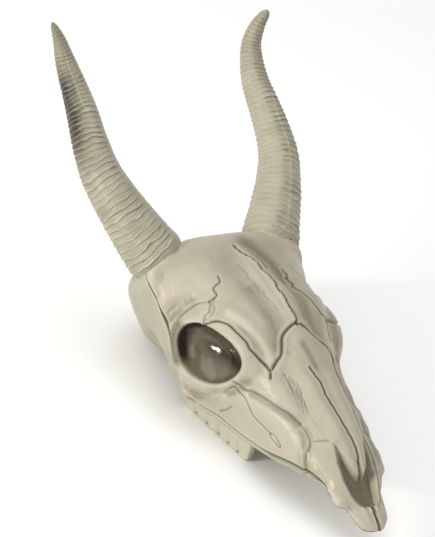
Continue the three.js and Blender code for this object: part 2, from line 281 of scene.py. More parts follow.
def unevenness(points, ripples):  # ripples laid over each other: height, size and seed of each
    return sum(height * ripple(points, size, seed) for height, size, seed in ripples)


def gridNormals(points):  # cross product of the grid's two directions
    return unit(np.cross(np.gradient(points, axis=1), np.gradient(points, axis=0)) + 1e-9)


# depth of hollows: how far each point lies below the mean of the skin round it, which is taken again and
# again over the four neighbours
def hollowDepth(points, normals, passes):
    mean = points
    for _ in range(passes):
        edged = np.pad(mean, ((1, 1), (1, 1), (0, 0)), mode="edge")
        mean = (edged[:-2, 1:-1] + edged[2:, 1:-1] + edged[1:-1, :-2] + edged[1:-1, 2:]) / 4
    return ((mean - points) * normals).sum(-1)


drawnLine = {
    "bits": 8,  # straight bits between two spots
    "waves": [(1, 9.1, 0), (0.7, 15.7, 1)],  # size, rate and start of each wobble
    "outOfReach": 1e3,
    "batch": 6000,  # points worked out at a time
}


# a line on the skull, splined through (station, rail) spots; wobble sets it off sideways in short waves
def skullLine(spots, side, wobble=0):
    spots = np.array(spots)
    places = np.linspace(0, len(spots) - 1, drawnLine["bits"] * (len(spots) - 1) + 1)
    stations, rails = splineThrough(spots, places).T
    waves = sum(size * np.sin(places * rate + start) for size, rate, start in drawnLine["waves"])
    return skullSpots(stations, (rails + wobble * waves) * side)


# offset from a line: the distance to the nearest of its straight bits, for the points within reach of it,
# with a sign for the side that they lie on
def lineOffset(points, normals, line, reach):
    flat, facing = points.reshape(-1, 3), normals.reshape(-1, 3)
    offset = np.full(len(flat), drawnLine["outOfReach"])
    inReach = ((flat > line.min(0) - reach) & (flat < line.max(0) + reach)).all(1)
    close = np.nonzero(inReach)[0]
    step = np.diff(line, axis=0)
    for batch in np.array_split(close, max(1, len(close) // drawnLine["batch"])):
        away = flat[batch, None] - line[:-1]
        share = np.clip((away * step).sum(-1) / (step ** 2).sum(-1), 0, 1)
        away = away - share[..., None] * step
        length = np.linalg.norm(away, axis=-1)
        nearest = length.argmin(1)
        row = np.arange(len(batch))
        side = (np.cross(step[nearest], away[row, nearest]) * facing[batch]).sum(-1)
        offset[batch] = length[row, nearest] * np.where(side < 0, -1, 1)
    return offset.reshape(points.shape[:-1])


def skinFaces(rows, columns):  # four-sided cells between closed rings, and a fan round each pole
    column = np.arange(columns)
    following = (column + 1) % columns
    ring = 1 + np.arange(rows)[:, None] * columns
    cells = np.stack([ring[:-1] + column, ring[:-1] + following, ring[1:] + following, ring[1:] + column], -1)
    pole = np.zeros(columns, int)
    startFan = np.stack([pole, 1 + following, 1 + column], -1)
    endFan = np.stack([pole + rows * columns + 1, ring[-1] + column, ring[-1] + following], -1)
    return cells.reshape(-1, 4), np.concatenate([startFan, endFan])


# a closed skin over rings of points, with its paint values; each pole takes the paint of its nearest ring
def closedSkin(rings, startPole, endPole, paint):
    rows, columns = rings.shape[:2]
    cells, fans = skinFaces(rows, columns)
    points = np.concatenate([[startPole], rings.reshape(-1, 3), [endPole]])
    painted = {
        name: np.concatenate([[value[0].mean()], value.ravel(), [value[-1].mean()]])
        for name, value in paint.items()
    }
    return {"points": points, "cells": cells, "fans": fans, "paint": painted}


def mirroredSkin(skin):  # mirror image across the middle plane, with its faces turned to point out again
    return {
        "points": skin["points"] * (-1, 1, 1),
        "cells": skin["cells"][:, ::-1],
        "fans": skin["fans"][:, ::-1],
        "paint": skin["paint"],
    }


def makePiece(name, skins, material, node):
    starts = np.cumsum([0] + [len(skin["points"]) for skin in skins])
    points = np.concatenate([skin["points"] for skin in skins])
    cells = np.concatenate([skin["cells"] + start for skin, start in zip(skins, starts)])
    fans = np.concatenate([skin["fans"] + start for skin, start in zip(skins, starts)])
    corners = np.concatenate([cells.ravel(), fans.ravel()])
    sizes = np.repeat([4, 3], [len(cells), len(fans)])
    mesh = bpy.data.meshes.new(name)
    mesh.vertices.add(len(points))
    mesh.vertices.foreach_set("co", ((points + skull["datum"]) / mmPerMetre).ravel())
    mesh.loops.add(len(corners))
    mesh.loops.foreach_set("vertex_index", corners)
    mesh.polygons.add(len(sizes))
    mesh.polygons.foreach_set("loop_start", np.cumsum(sizes) - sizes)
    mesh.polygons.foreach_set("use_smooth", np.ones(len(sizes), bool))
    mesh.update(calc_edges=True)
    for paintName in skins[0]["paint"]:
        values = np.concatenate([skin["paint"][paintName] for skin in skins])
        layer = mesh.attributes.new(paintName, "FLOAT", "POINT")
        layer.data.foreach_set("value", values.astype(np.float32))
    mesh.materials.append(material)
    piece = bpy.data.objects.new(name, mesh)
    bpy.context.scene.collection.objects.link(piece)
    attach(piece, "root")
    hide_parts(node)
    print(name, len(points), "points", 2 * len(cells) + len(fans), "triangles")
    return piece


def feed(tree, socket, value):  # a socket is linked, a number or colour is set
    if isinstance(value, bpy.types.NodeSocket):
        tree.links.new(value, socket)
    else:
        socket.default_value = value


def addNode(tree, kind, values=None, **settings):
    node = tree.nodes.new(kind)
    for name, value in settings.items():
        setattr(node, name, value)
    for name, value in (values or {}).items():
        feed(tree, node.inputs[name], value)
    return node


def mathNode(tree, operation, *values, clamp=False):
    node = addNode(tree, "ShaderNodeMath", dict(enumerate(values)), operation=operation, use_clamp=clamp)
    return node.outputs["Value"]


def mixColours(tree, amount, colour, overlaid):
    node = addNode(tree, "ShaderNodeMix", data_type="RGBA")
    feed(tree, node.inputs["Factor"], amount)
    feed(tree, node.inputs[6], colour)  # its colour sockets share their names with the number ones
    feed(tree, node.inputs[7], overlaid)
    return node.outputs[2]


def paintValue(tree, name):  # a piece's own paint attribute
    return addNode(tree, "ShaderNodeAttribute", attribute_name=name).outputs["Fac"]


def placeGroup(tree, group, values):
    return addNode(tree, "ShaderNodeGroup", values, node_tree=group).outputs


# an empty group, with the sockets that bring its inputs and take its outputs; all are numbers but the colours
def newGroup(name, inputs, outputs, colours=()):
    group = bpy.data.node_groups.new(name, "ShaderNodeTree")
    for direction, sockets in (("INPUT", inputs), ("OUTPUT", outputs)):
        for socketName in sockets:
            kind = "NodeSocketColor" if socketName in colours else "NodeSocketFloat"
            group.interface.new_socket(name=socketName, in_out=direction, socket_type=kind)
    return group, group.nodes.new("NodeGroupInput").outputs, group.nodes.new("NodeGroupOutput").inputs


# grain of moulded plastic: cloudy tone, fine speckle, and a height for bump
def makeGrainGroup():
    group, source, result = newGroup(
        "mouldGrain", ("Cloud Scale", "Speckle Scale"), ("Cloud", "Speckle", "Height"),
    )
    place = addNode(group, "ShaderNodeTexCoord").outputs["Object"]
    cloud = addNode(group, "ShaderNodeTexNoise", {
        "Vector": place, "Scale": source["Cloud Scale"], "Detail": 4, "Roughness": 0.6,
    }).outputs["Fac"]
    speckle = addNode(group, "ShaderNodeTexNoise", {
        "Vector": place, "Scale": source["Speckle Scale"], "Detail": 3, "Roughness": 0.7,
    }).outputs["Fac"]
    speckleHeight = 0.6
    feed(group, result["Cloud"], cloud)
    feed(group, result["Speckle"], speckle)
    feed(group, result["Height"], mathNode(group, "MULTIPLY_ADD", speckle, speckleHeight, cloud))
    return group


# a wash of paint over a base colour: its own paint value, broken up by speckle
def makeWashGroup():
    group, source, result = newGroup(
        "brokenWash", ("Base", "Wash Colour", "Amount", "Speckle", "Break"), ("Color",),
        colours=("Base", "Wash Colour", "Color"),
    )
    centred = mathNode(group, "SUBTRACT", source["Speckle"], 0.5)
    broken = mathNode(group, "MULTIPLY_ADD", centred, source["Break"], 1)
    amount = mathNode(group, "MULTIPLY", source["Amount"], broken, clamp=True)
    feed(group, result["Color"], mixColours(group, amount, source["Base"], source["Wash Colour"]))
    return group


# a line inked from the offset to it, in line widths: full at its core, gone past its edge, wavering with
# speckle
def makeInkGroup():
    group, source, result = newGroup("inkedLine", ("Offset", "Wash", "Speckle", "Waver"), ("Amount",))
    centred = mathNode(group, "SUBTRACT", source["Speckle"], 0.5)
    wavered = mathNode(group, "MULTIPLY_ADD", centred, source["Waver"], source["Offset"])
    inked = addNode(group, "ShaderNodeMapRange", {
        "Value": mathNode(group, "ABSOLUTE", wavered),
        "From Min": 0.25, "From Max": 0.95, "To Min": 1, "To Max": 0,
    }, interpolation_type="SMOOTHSTEP")
    feed(group, result["Amount"], mathNode(group, "MULTIPLY", inked.outputs["Result"], source["Wash"]))
    return group


grainGroup = makeGrainGroup()
washGroup = makeWashGroup()
inkGroup = makeInkGroup()


# moulded plastic: two tones clouded together, then each wash in turn laid over by its attribute
def plasticMaterial(name, look):
    material = bpy.data.materials.new(name)
    material.use_nodes = True
    tree = material.node_tree
    shader = tree.nodes["Principled BSDF"]
    shader.inputs["Specular IOR Level"].default_value = look["specular"]
    shader.inputs["Specular Tint"].default_value = (*look["specularTint"], 1)
    shader.inputs["Coat Weight"].default_value = look["coat"]
    shader.inputs["Coat Roughness"].default_value = look["coatRoughness"]
    grain = placeGroup(tree, grainGroup, {
        "Cloud Scale": look["cloudScale"], "Speckle Scale": look["speckleScale"],
    })
    clouded = addNode(tree, "ShaderNodeMapRange", {
        "Value": grain["Cloud"], "From Min": 0.32, "From Max": 0.68,
    }).outputs["Result"]
    colour = mixColours(tree, clouded, (*look["tone"], 1), (*look["secondTone"], 1))
    for attributeName, washColour, washBreak in look["washes"]:
        amount = paintValue(tree, attributeName)
        if attributeName == "sutureWash":
            amount = placeGroup(tree, inkGroup, {
                "Offset": paintValue(tree, "sutureOffset"), "Wash": amount,
                "Speckle": grain["Speckle"], "Waver": look["waver"],
            })["Amount"]
        colour = placeGroup(tree, washGroup, {
            "Base": colour, "Wash Colour": (*washColour, 1), "Amount": amount,
            "Speckle": grain["Speckle"], "Break": washBreak,
        })["Color"]
    low, high = look["roughness"]
    roughness = addNode(tree, "ShaderNodeMapRange", {
        "Value": grain["Cloud"], "From Min": 0.3, "From Max": 0.7, "To Min": low, "To Max": high,
    }).outputs["Result"]
    if "glossRoughness" in look:
        roughness = addNode(tree, "ShaderNodeMix", {
            "Factor": paintValue(tree, "gloss"), "A": roughness, "B": look["glossRoughness"],
        }).outputs["Result"]
    bump = addNode(tree, "ShaderNodeBump", {
        "Height": grain["Height"], "Strength": look["bump"], "Distance": 0.0006,
    })
    feed(tree, shader.inputs["Base Color"], colour)
    feed(tree, shader.inputs["Roughness"], roughness)
    feed(tree, shader.inputs["Normal"], bump.outputs["Normal"])
    return material


# horn bases: each shell ends in a flat across the horn, with a thin collar round it
hornSeat = {
    "axis": unit((0.48, 0.68, 0.56)),  # at the left horn's base
    "lip": 40.5,  # distance along the axis at which the shells end
    "middle": np.array((57.9, 12, 8.3)),
    "collarRadius": 23.6,
    "collarRise": (-4, -0.5),  # from the lip
    "core": 12,  # points closer to the axis stay
}


# points past the lip drop onto its plane; just below it, points inside the collar move out to its radius
def seatHorns(points):
    flip = sideFlip(points)
    local = points * flip
    past = local @ hornSeat["axis"] - hornSeat["lip"]
    offset = local - hornSeat["middle"]
    radial = offset - (offset @ hornSeat["axis"])[..., None] * hornSeat["axis"]
    radius = np.linalg.norm(radial, axis=-1, keepdims=True)
    collar = smoothStep(*hornSeat["collarRise"], past) * (past < 0) * (radius[..., 0] > hornSeat["core"])
    grow = np.maximum(hornSeat["collarRadius"] - radius, 0) * collar[..., None]
    local = local + radial / radius * grow
    local = local - np.maximum(past, 0)[..., None] * hornSeat["axis"]
    return local * flip


def evenStations(rows):  # stations spaced evenly by length along the midline
    fine = np.linspace(0, skull["stations"], skull["fineSteps"])
    run = lengthAlong(splineThrough([skull["nosePole"], *skull["midline"], skull["crownPole"]], fine))
    return np.interp(np.linspace(0, run[-1], rows + 2)[1:-1], run, fine)


def edgeDistance(points, normals, reach):  # to the nearer of a shell's two edges
    edges = [np.abs(lineOffset(points, normals, edge, reach)) for edge in (points[:, 0], points[:, -1])]
    return np.minimum(*edges)


# a shell's skin: its edge turns in over its last millimetre, and its rings close across the parting, which
# takes the paint of the edge beside it
def shellSkin(points, normals, fromEdge, turn, paint, drop=0):
    points = points - normals * (turn["depth"] * np.exp(-fromEdge / turn["reach"]))[..., None]
    first, last = points[:, :1], points[:, -1:]
    share = np.linspace(0, 1, turn["columns"] + 2)[1:-1, None]
    rings = np.concatenate([points, last + (first - last) * share], 1)
    paint = {
        name: np.concatenate([value, np.repeat(value[:, -1:], turn["columns"], 1)], 1)
        for name, value in paint.items()
    }
    lowered = np.array((0, 0, -drop))
    return closedSkin(rings, skull["nosePole"] + lowered, skull["crownPole"] + lowered, paint)


# paint at a shell's edge: a dark line along the seam, weaker by a given share, and a light line beside it
# that is painted highlight and wear
def paintSeam(fromEdge, weakerBy, seam, paint):
    deepen(paint, "wash", bell(fromEdge, seam["width"]) * (1 - weakerBy))
    deepen(paint, "wearAndHighlight", seam["light"] * bell(fromEdge - seam["lightPlace"], seam["lightWidth"]))


near, far = -1, 1  # the animal's right and left side
nearSide, farSide, bothSides = (near,), (far,), (near, far)


# a narrow line through (station, rail) spots: width and depth in mm, then the strength of its dark wash
# its wash also sets the painted shade beside the line and the painted highlight on its lips
def suture(width, depth, wash, sides, *spots, wobble=0):
    return {"width": width, "depth": depth, "wash": wash, "sides": sides, "spots": spots, "wobble": wobble}


# a soft ridge or hollow along such a line: width and height in mm, with painted shade on some, wear and
# painted highlight on others
def form(width, height, sides, *spots, shade=0, wearAndHighlight=0):
    paint = {"shade": shade, "wearAndHighlight": wearAndHighlight}
    return {"width": width, "height": height, "sides": sides, "spots": spots, **paint}


overOrbit = [
    (7.47, 1.84), (7.38, 1.67), (7.25, 1.56), (7.08, 1.47), (6.88, 1.44), (6.47, 1.41), (6.31, 1.47),
    (6.14, 1.49), (5.97, 1.53), (5.77, 1.53), (5.68, 1.55), (5.6, 1.66),
]
acrossSeam = [  # at the muzzle, on both shells
    form(4.6, 2.8, nearSide, (2.64, 2.92), (2.45, 2.95), (2.27, 2.95)),
    form(3.6, 2.2, nearSide, (2.4, 2.95), (2.27, 2.95)),
    form(6, -3, farSide, (2.2, 2.25), (1.8, 2.2), (1.4, 2.1), (0.8, 2.1)),
]
frontShell = {
    "rows": 362,
    "columns": (38, 38, 54),  # from the midline to the nasal ridge, the brow line and the seam
    "turn": {"depth": 0.7, "reach": 0.5, "columns": 7},
    "seam": {"reach": 6, "width": 0.5, "weakerBy": 0.8, "light": 0.5, "lightPlace": 2, "lightWidth": 0.8},
    "sutures": [
        suture(0.9, 0.8, 0.75, bothSides, (8.33, 0.95), (8.16, 1), (8.12, 1.14), (8.06, 1.21),
            (7.9, 1.22), (7.86, 1.32), (7.86, 1.43)),
        suture(0.8, 0.6, 0.5, bothSides, (7.86, 1.43), (7.77, 1.46), (7.64, 1.58), (7.65, 1.69),
            (7.55, 1.8), (7.5, 1.86)),
        suture(0.7, 0.5, 0.38, bothSides, (7.84, 1.3), (7.77, 1.4), (7.66, 1.43), (7.58, 1.5),
            (7.52, 1.66), (7.55, 1.8)),
        suture(1.15, 1.6, 0.9, nearSide, *overOrbit),
        suture(1, 0.5, 0.2, farSide, *overOrbit),
        suture(1.2, 1.5, 0.95, nearSide, (6.36, 0), (6.32, 0.17), (6.23, 0.43), (6.13, 0.58),
            (5.97, 0.72), (5.84, 0.89), (5.77, 1.15), (5.7, 1.45)),
        suture(1.6, 0.3, 0.95, farSide, (6.32, 0), (6.26, 0.18), (6.11, 0.4), (6, 0.68), (5.92, 0.93),
            (5.76, 1.02), (5.57, 1.12)),
        suture(1.15, 1.4, 0.95, farSide, (9.21, -0.14), (8.9, -0.14), (8.63, -0.07), (8.3, 0),
            (8.05, -0.04), (7.81, 0.02), (7.55, 0.02), (7.36, -0.04), (7.13, 0), (6.87, -0.02), (6.7, 0),
            (6.49, 0.04), (6.32, -0.02), wobble=0.01),
        suture(0.9, 0.7, 0.5, farSide, (8.95, 0.08), (8.6, 0.17), (8.32, 0.16), (8.1, 0.12), wobble=0.01),
        suture(1.2, 0.3, 0.8, farSide, (8.13, 0.57), (7.95, 0.6), (7.82, 0.55), (7.65, 0.6), (7.53, 0.54),
            (7.36, 0.64), (7.21, 0.73), (6.86, 0.92), (6.58, 1.08), (6.32, 1.17), (6.05, 1.2),
            wobble=0.012),
        suture(1, 1.2, 0.9, nearSide, (5.4, 0.23), (5.19, 0.14), (5.04, 0.04), (4.74, 0.11), (4.38, 0.07),
            (3.96, 0.01), (3.52, -0.11), (3.15, -0.12), (2.85, 0), wobble=0.012),
        suture(1.4, 0.4, 0.9, farSide, (5.57, 1.12), (5.38, 1.14), (5.21, 1.18), (4.9, 1.24),
            (4.56, 1.27), (4.15, 1.19), (3.77, 1.16), (3.43, 1.23), (3.12, 1.37), (2.8, 1.42)),
        suture(1, 0.2, 0.06, nearSide, (5.6, 1.2), (5.2, 1.28), (4.75, 1.33), (4.04, 1.26), (3.48, 1.1)),
        suture(0.75, 0.7, 0.55, bothSides, (6.18, 2.45), (6.12, 2.4), (5.99, 2.39), (5.77, 2.37),
            (5.58, 2.42), (5.4, 2.48), (4.93, 2.49)),
        suture(0.7, 0.8, 0.45, bothSides, (4.93, 2.5), (4.83, 2.46), (4.7, 2.5), (4.57, 2.58),
            (4.6, 2.64), (4.75, 2.6), (4.87, 2.56), (4.93, 2.5)),
        suture(0.9, 0.6, 0.4, bothSides, (6.1, 2.85), (5.97, 2.74), (5.92, 2.64)),
        suture(0.8, 0.4, 0.4, bothSides, (3.92, 1.61), (3.8, 1.42), (3.68, 1.24)),
        suture(1.2, 2, 0.95, nearSide, (1.8, 0.02), (1.36, 0), (0.54, 0), (0.15, 0)),
        suture(1, 0.4, 0.22, nearSide, (8.46, 0.41), (7.83, 0.41), (7.32, 0.37), (6.8, 0.3),
            wobble=0.014),
        suture(1.2, 0.5, 0.3, bothSides, (8.1, 2.3), (8.05, 1.84), (8, 1.62), (7.83, 1.42)),
        suture(1.6, 2.2, 0.4, farSide, (6.62, 1.15), (6.64, 1.35), (6.65, 1.5), (6.65, 1.7)),
        suture(1, 0.8, 0.5, bothSides, (6.19, 2.34), (5.9, 2.3), (5.74, 2.22), (5.45, 2.09), (5.13, 1.95),
            (4.85, 1.81), (4.49, 1.68)),
        suture(0.9, 0.4, 0.4, bothSides, (4.49, 1.68), (4.18, 1.67), (3.91, 1.81), (3.79, 2.4),
            (3.7, 2.9)),
    ],
    "forms": [
        form(9, -2.2, bothSides, (7.6, 0.5), (7.08, 0.51), (6.68, 0.52), (6.37, 0.57), (6.04, 0.73),
            shade=0.48),
        form(5.4, -0.6, bothSides, (6.95, 0.55), (6.6, 0.55), (6.3, 0.61), (6.1, 0.71), (5.96, 0.84),
            shade=0.6),
        form(7, -0.6, nearSide, (8.3, 0.5), (7.97, 0.51), (7.6, 0.5), shade=0.28),
        # painted highlight along the ridges beside the midline and along the brow, on the near side only
        # where so marked
        form(3.4, 0.5, nearSide, (8.96, 0.18), (8.44, 0.21), (7.93, 0.24), (7.35, 0.28), (6.9, 0.26),
            (6.53, 0.18), wearAndHighlight=0.2),
        form(4.4, 1.8, bothSides, (7.31, 1.26), (6.83, 1.14), (6.37, 1.12), (6.1, 1.16), (5.85, 1.3),
            wearAndHighlight=0.55),
        form(4, 1, bothSides, (7.2, 1.62), (6.9, 1.58), (6.5, 1.58), (6.2, 1.66), wearAndHighlight=0.2),
        form(2.4, 0.9, nearSide, (9.2, 0.06), (8.1, 0.07), (7.5, 0.05), (6.9, 0.05), (6.45, 0.05),
            wearAndHighlight=0.3),
        form(11, -2.2, farSide, (9.3, 0.3), (8.75, 0.36), (8.2, 0.38), (7.8, 0.4), shade=0.8),
        form(7, -1, farSide, (7.8, 0.4), (7.4, 0.36), (6.98, 0.36), (6.6, 0.4), shade=0.52),
        form(16, -0.3, farSide, (9, 0.6), (8.3, 0.65), (7.6, 0.7), (7, 0.75), (6.5, 0.85), shade=0.24),
        form(12, -0.8, nearSide, (8.7, 0.6), (8.05, 0.68), (7.52, 0.7), (7.09, 0.64), shade=0.3),
        form(5, -0.3, nearSide, (8.92, 0.76), (8.64, 0.82), (8.38, 0.92), shade=0.2),
        form(3.2, -1, farSide, (5.85, -0.05), (5.59, 0.02), (5.37, 0.09), shade=0.5),
        form(2.6, -0.5, nearSide, (5.97, 0.72), (5.79, 0.66), shade=0.4),
        form(5.5, 1.1, bothSides, (5.2, 0.6), (4.6, 0.6), (4, 0.55), (3.4, 0.5), (2.9, 0.52), (2.6, 0.52),
            wearAndHighlight=0.15),
        form(6, -0.3, farSide, (6.85, 1.47), (6.46, 1.38), (6.25, 1.42), (5.99, 1.5), shade=0.5),
        # painted highlight along the far nasal edge
        form(1.6, 0.5, farSide, (5.15, 1), (4.79, 0.98), (4.38, 0.97), (4.02, 0.95), (3.65, 0.95),
            wearAndHighlight=0.5),
        form(8, -0.4, farSide, (5.4, 1.6), (4.76, 1.62), (4.42, 1.7), (4, 1.75), (3.5, 1.8), (3, 1.85),
            shade=0.55),
        form(5, -1, bothSides, (5.45, 1.25), (5, 1.36), (4.6, 1.45), shade=0.2),
        form(3.6, -1.6, bothSides, (5.7, 2.24), (5.4, 2.12), (5.08, 1.98), (4.8, 1.84), (4.5, 1.7),
            shade=0.6),
        form(1.8, -0.7, bothSides, (4.3, 1.58), (4.05, 1.6), (3.86, 1.8), (3.74, 2.15), shade=0.4),
        form(4, 1, bothSides, (5.95, 0.62), (5.8, 0.85), (5.62, 1.25), wearAndHighlight=0.2),
        # small painted highlights on the cheek and beside the nose
        form(1, 0.4, nearSide, (5.64, 1.82), (5.49, 1.8), wearAndHighlight=0.7),
        form(0.9, 0.3, nearSide, (3.84, 2.05), (3.74, 2.2), wearAndHighlight=0.7),
        form(0.9, 0.3, nearSide, (3.42, 2.36), (3.32, 2.44), wearAndHighlight=0.7),
        form(0.9, 0.3, nearSide, (2.74, 2.06), (2.6, 2.16), wearAndHighlight=0.7),
        form(4.5, 1.2, bothSides, (7.2, 2.75), (6.9, 2.72), (6.5, 2.66), (6.2, 2.62), shade=0.18),
        form(6.5, 4.5, bothSides, (7.65, 2.96), (7.45, 2.95), (7.25, 2.95), (7.08, 2.97)),
        *acrossSeam,
        form(4, 1.6, farSide, (4.4, 1.6), (4.1, 1.85), (3.8, 2), (3.5, 2.05), (3.2, 2), (2.9, 2),
            (2.78, 2.05)),
        form(4.6, 1.2, farSide, (3.75, 2.03), (3.5, 2.05), (3.2, 2), (2.9, 2), (2.78, 2.05)),
        form(4, 1.3, farSide, (3.3, 2.03), (3.1, 2), (2.9, 2), (2.78, 2.05)),
        form(9, -4, farSide, (5.7, 1.7), (5.46, 1.8), (5.2, 1.87), (4.95, 1.9)),
        form(6, -2, farSide, (6.66, 1.62), (6.35, 1.68), (6.1, 1.71)),
        form(2.6, -0.2, bothSides, (4.49, 1.8), (4.2, 1.8), (4.03, 1.95), (3.92, 2.4), (3.85, 2.8),
            shade=0.4),
        form(2.8, -0.7, bothSides, (6.81, 2.74), (6.55, 2.7), (6.4, 2.6), shade=0.4),
        form(8, -2, bothSides, (8.4, 2.5), (8.31, 2.2), (8.22, 1.9), (8.15, 1.73), shade=0.28),
        form(3.5, 0.9, bothSides, (1.6, 0.75), (1.1, 0.85), (0.6, 0.9), wearAndHighlight=0.1),
        form(1.6, 1.2, bothSides, (1.9, 0.3), (1.7, 0.32), (1.5, 0.3), wearAndHighlight=0.3),
    ],
    "scratches": {
        "from": (5.38, 1.1), "to": (4.65, 1.35), "count": 24, "spread": 0.16, "halfLengths": (0.08, 0.16),
        "width": 0.5, "depth": 0.25, "wash": 0.42, "seed": 4,
    },
    "ribs": {  # behind each orbit, in rim radii and radians round it
        "height": 0.4, "spacing": 0.07, "radius": (0.99, 1.05, 1.17, 1.32),
        "around": (-1.15, -0.85, 0.3, 0.6), "shade": (0.62, 0.38), "trough": (0.4, -1), "wearAndHighlightCut": 0.9,
    },
    "rimHighlight": {"radius": 1.07, "width": 0.04, "up": (-0.3, -0.7), "along": (-0.6, 0.1)},
    "ripples": [(0.07, 11, 1), (0.04, 4, 2)],
    "hollows": {"passes": 70, "depth": (0.05, 0.8), "shade": 0.55, "wearAndHighlight": 0.3},
}

# nasal opening, seen from above: half width of the opening and of the nasal bones over it, by y
nose = {
    "outerEdge": [
        (2, -250.5), (6, -248.5), (9, -246), (11.5, -243), (14.8, -236), (17.5, -225), (18, -214),
        (15.8, -203), (15, -199),
    ],
    "tongueEdge": [
        (0, -225.5), (3.5, -224.5), (6.3, -222), (8.4, -218), (10.2, -213), (12, -207.5), (13.8, -203),
        (16, -199),
    ],
    "floorDepth": [(0, -250), (2.5, -246.5), (7.5, -239.5), (11, -228), (9, -214), (6.5, -203), (4, -199)],
    "back": (-199, -203),  # y over which the opening sets in
    "underside": -75,
    "wall": 6.5,  # run of the sloping inner wall
    "step": (-0.6, 1.2),  # off the edge of the nasal bones
    "cleft": {"back": -216, "width": 1.8, "run": 9},  # between the tips of the nasal bones
    "droop": {"depth": 0.8, "from": -207, "to": -224, "end": -227, "power": 1.5},
    "roundOff": {"depth": 2.2, "run": 2.2},
    "edgeShadeLine": {"wash": 0.7, "place": 0.4, "width": 0.8, "front": -249},
    "painted": 0.4,  # least depth that is shaded
    "floorShade": {"amount": 0.95, "wall": (0.8, 1), "besideTongue": (2.5, 0.5)},
    "wallShade": {"front": 0.25, "added": 0.6, "back": (-231, -221), "rise": (0.05, 0.4)},
}


# the opening sinks by its floor depth, less towards its outer edge and not at all on the nasal bones; gives
# the points, the shares of painted shade on floor and wall, and the painted shade line along the outer edge
def openNose(points):
    x, y = np.abs(points[..., 0]), points[..., 1]
    table = {key: np.array(nose[key]).T for key in ("outerEdge", "tongueEdge", "floorDepth")}
    atY = {key: np.interp(y, value[1], value[0]) for key, value in table.items()}
    cleft, tip, line = nose["cleft"], nose["droop"], nose["edgeShadeLine"]
    cleftHalf = cleft["width"] * smoothStep(0, cleft["run"], cleft["back"] - y)
    onTongue = np.minimum(atY["tongueEdge"] - x, np.where(y < cleft["back"], x - cleftHalf, np.inf))
    offTongue = smoothStep(*nose["step"], -onTongue)
    inside = atY["outerEdge"] - x
    wall = smoothStep(0, nose["wall"], inside)
    ahead = smoothStep(*nose["back"], y) * (points[..., 2] > nose["underside"])
    sink = atY["floorDepth"] * wall * offTongue * ahead
    droop = tip["depth"] * smoothStep(tip["from"], tip["to"], y) ** tip["power"] * (y > tip["end"])
    roundOff = nose["roundOff"]["depth"] * np.exp(-np.maximum(onTongue, 0) / nose["roundOff"]["run"]) * ahead
    sunk = points.copy()
    sunk[..., 2] -= sink + (droop + roundOff) * (1 - offTongue)
    edgeShadeLine = bell(inside - line["place"], line["width"]) * ahead * (y > line["front"]) * offTongue
    inOpening = offTongue * ahead * (sink > nose["painted"])
    look = nose["floorShade"]
    floor = np.maximum(smoothStep(*look["wall"], wall), smoothStep(*look["besideTongue"], -onTongue))
    look = nose["wallShade"]
    wallShade = look["front"] + look["added"] * smoothStep(*look["back"], y)
    return sunk, floor * inOpening, wallShade * smoothStep(*look["rise"], wall) * inOpening, edgeShadeLine


def scratchSutures():  # short strokes beside the nasal bone, set off at random about one line
    look = frontShell["scratches"]
    draw = np.random.default_rng(look["seed"])
    start, end = np.array(look["from"]), np.array(look["to"])
    direction = (end - start) / np.linalg.norm(end - start)
    strokes = []
    for place in np.linspace(0, 1, look["count"]):
        middle = start + (end - start) * place + (0, draw.uniform(-1, 1) * look["spread"])
        half = direction * draw.uniform(*look["halfLengths"])
        spots = (middle - half, middle, middle + half)
        strokes.append(suture(look["width"], look["depth"], look["wash"], bothSides, *spots))
    return strokes


def railColumns(counts):  # rails from the near seam over the top to the far seam
    half = [rail + np.arange(count) / count for rail, count in enumerate(counts)]
    half = np.concatenate([*half, [len(counts)]])
    return np.concatenate([-half[:0:-1], half])


# shared look of the lines, with lengths in line widths
lineLook = {
    "formReach": 3,
    "sutureReach": 8,
    "lip": 0.3,  # height, as a share of the depth
    "lipPlace": 2.2,
    "core": (1.2, 2.4),
    # painted shade beside each suture, and a painted highlight on its lips
    "shade": 0.55,
    "shadeWidth": 2,
    "wearAndHighlight": 0.45,
    "noSuture": 9.0,
}


# relief and paint of a shell's lines: forms are broad, sutures narrow with a low lip along each side; both
# fall off as a bell curve of the distance to their line, and each point keeps its offset to the nearest one
def drawLines(points, normals, forms, sutures, paint):
    relief = np.zeros(points.shape[:2])
    for look, side in [(look, side) for look in forms for side in look["sides"]]:
        width = look["width"]
        away = lineOffset(points, normals, skullLine(look["spots"], side), lineLook["formReach"] * width)
        share = bell(away, width)
        relief += look["height"] * share
        for name in ("shade", "wearAndHighlight"):
            deepen(paint, name, look[name] * share)
    for look, side in [(look, side) for look in sutures for side in look["sides"]]:
        width, wash = look["width"], look["wash"]
        line = skullLine(look["spots"], side, look["wobble"])
        offset = lineOffset(points, normals, line, lineLook["sutureReach"] * width) / width
        away = np.abs(offset)
        lip = bell(away - lineLook["lipPlace"], 1)
        relief += look["depth"] * (lineLook["lip"] * lip - bell(away, 1))
        nearest = away < np.abs(paint["sutureOffset"])
        inked = wash * (1 - smoothStep(*lineLook["core"], away))
        paint["sutureOffset"] = np.where(nearest, offset, paint["sutureOffset"])
        paint["sutureWash"] = np.where(nearest, inked, paint["sutureWash"])
        # painted shade beside the suture, and a painted highlight on its lips
        deepen(paint, "shade", lineLook["shade"] * wash * bell(away, lineLook["shadeWidth"]))
        deepen(paint, "wearAndHighlight", lineLook["wearAndHighlight"] * wash * lip)
    return relief


def blankPaint(names, shape):  # no paint anywhere, and no suture within reach
    paint = {name: np.zeros(shape) for name in names}
    paint["sutureOffset"] = np.full(shape, lineLook["noSuture"])
    return paint


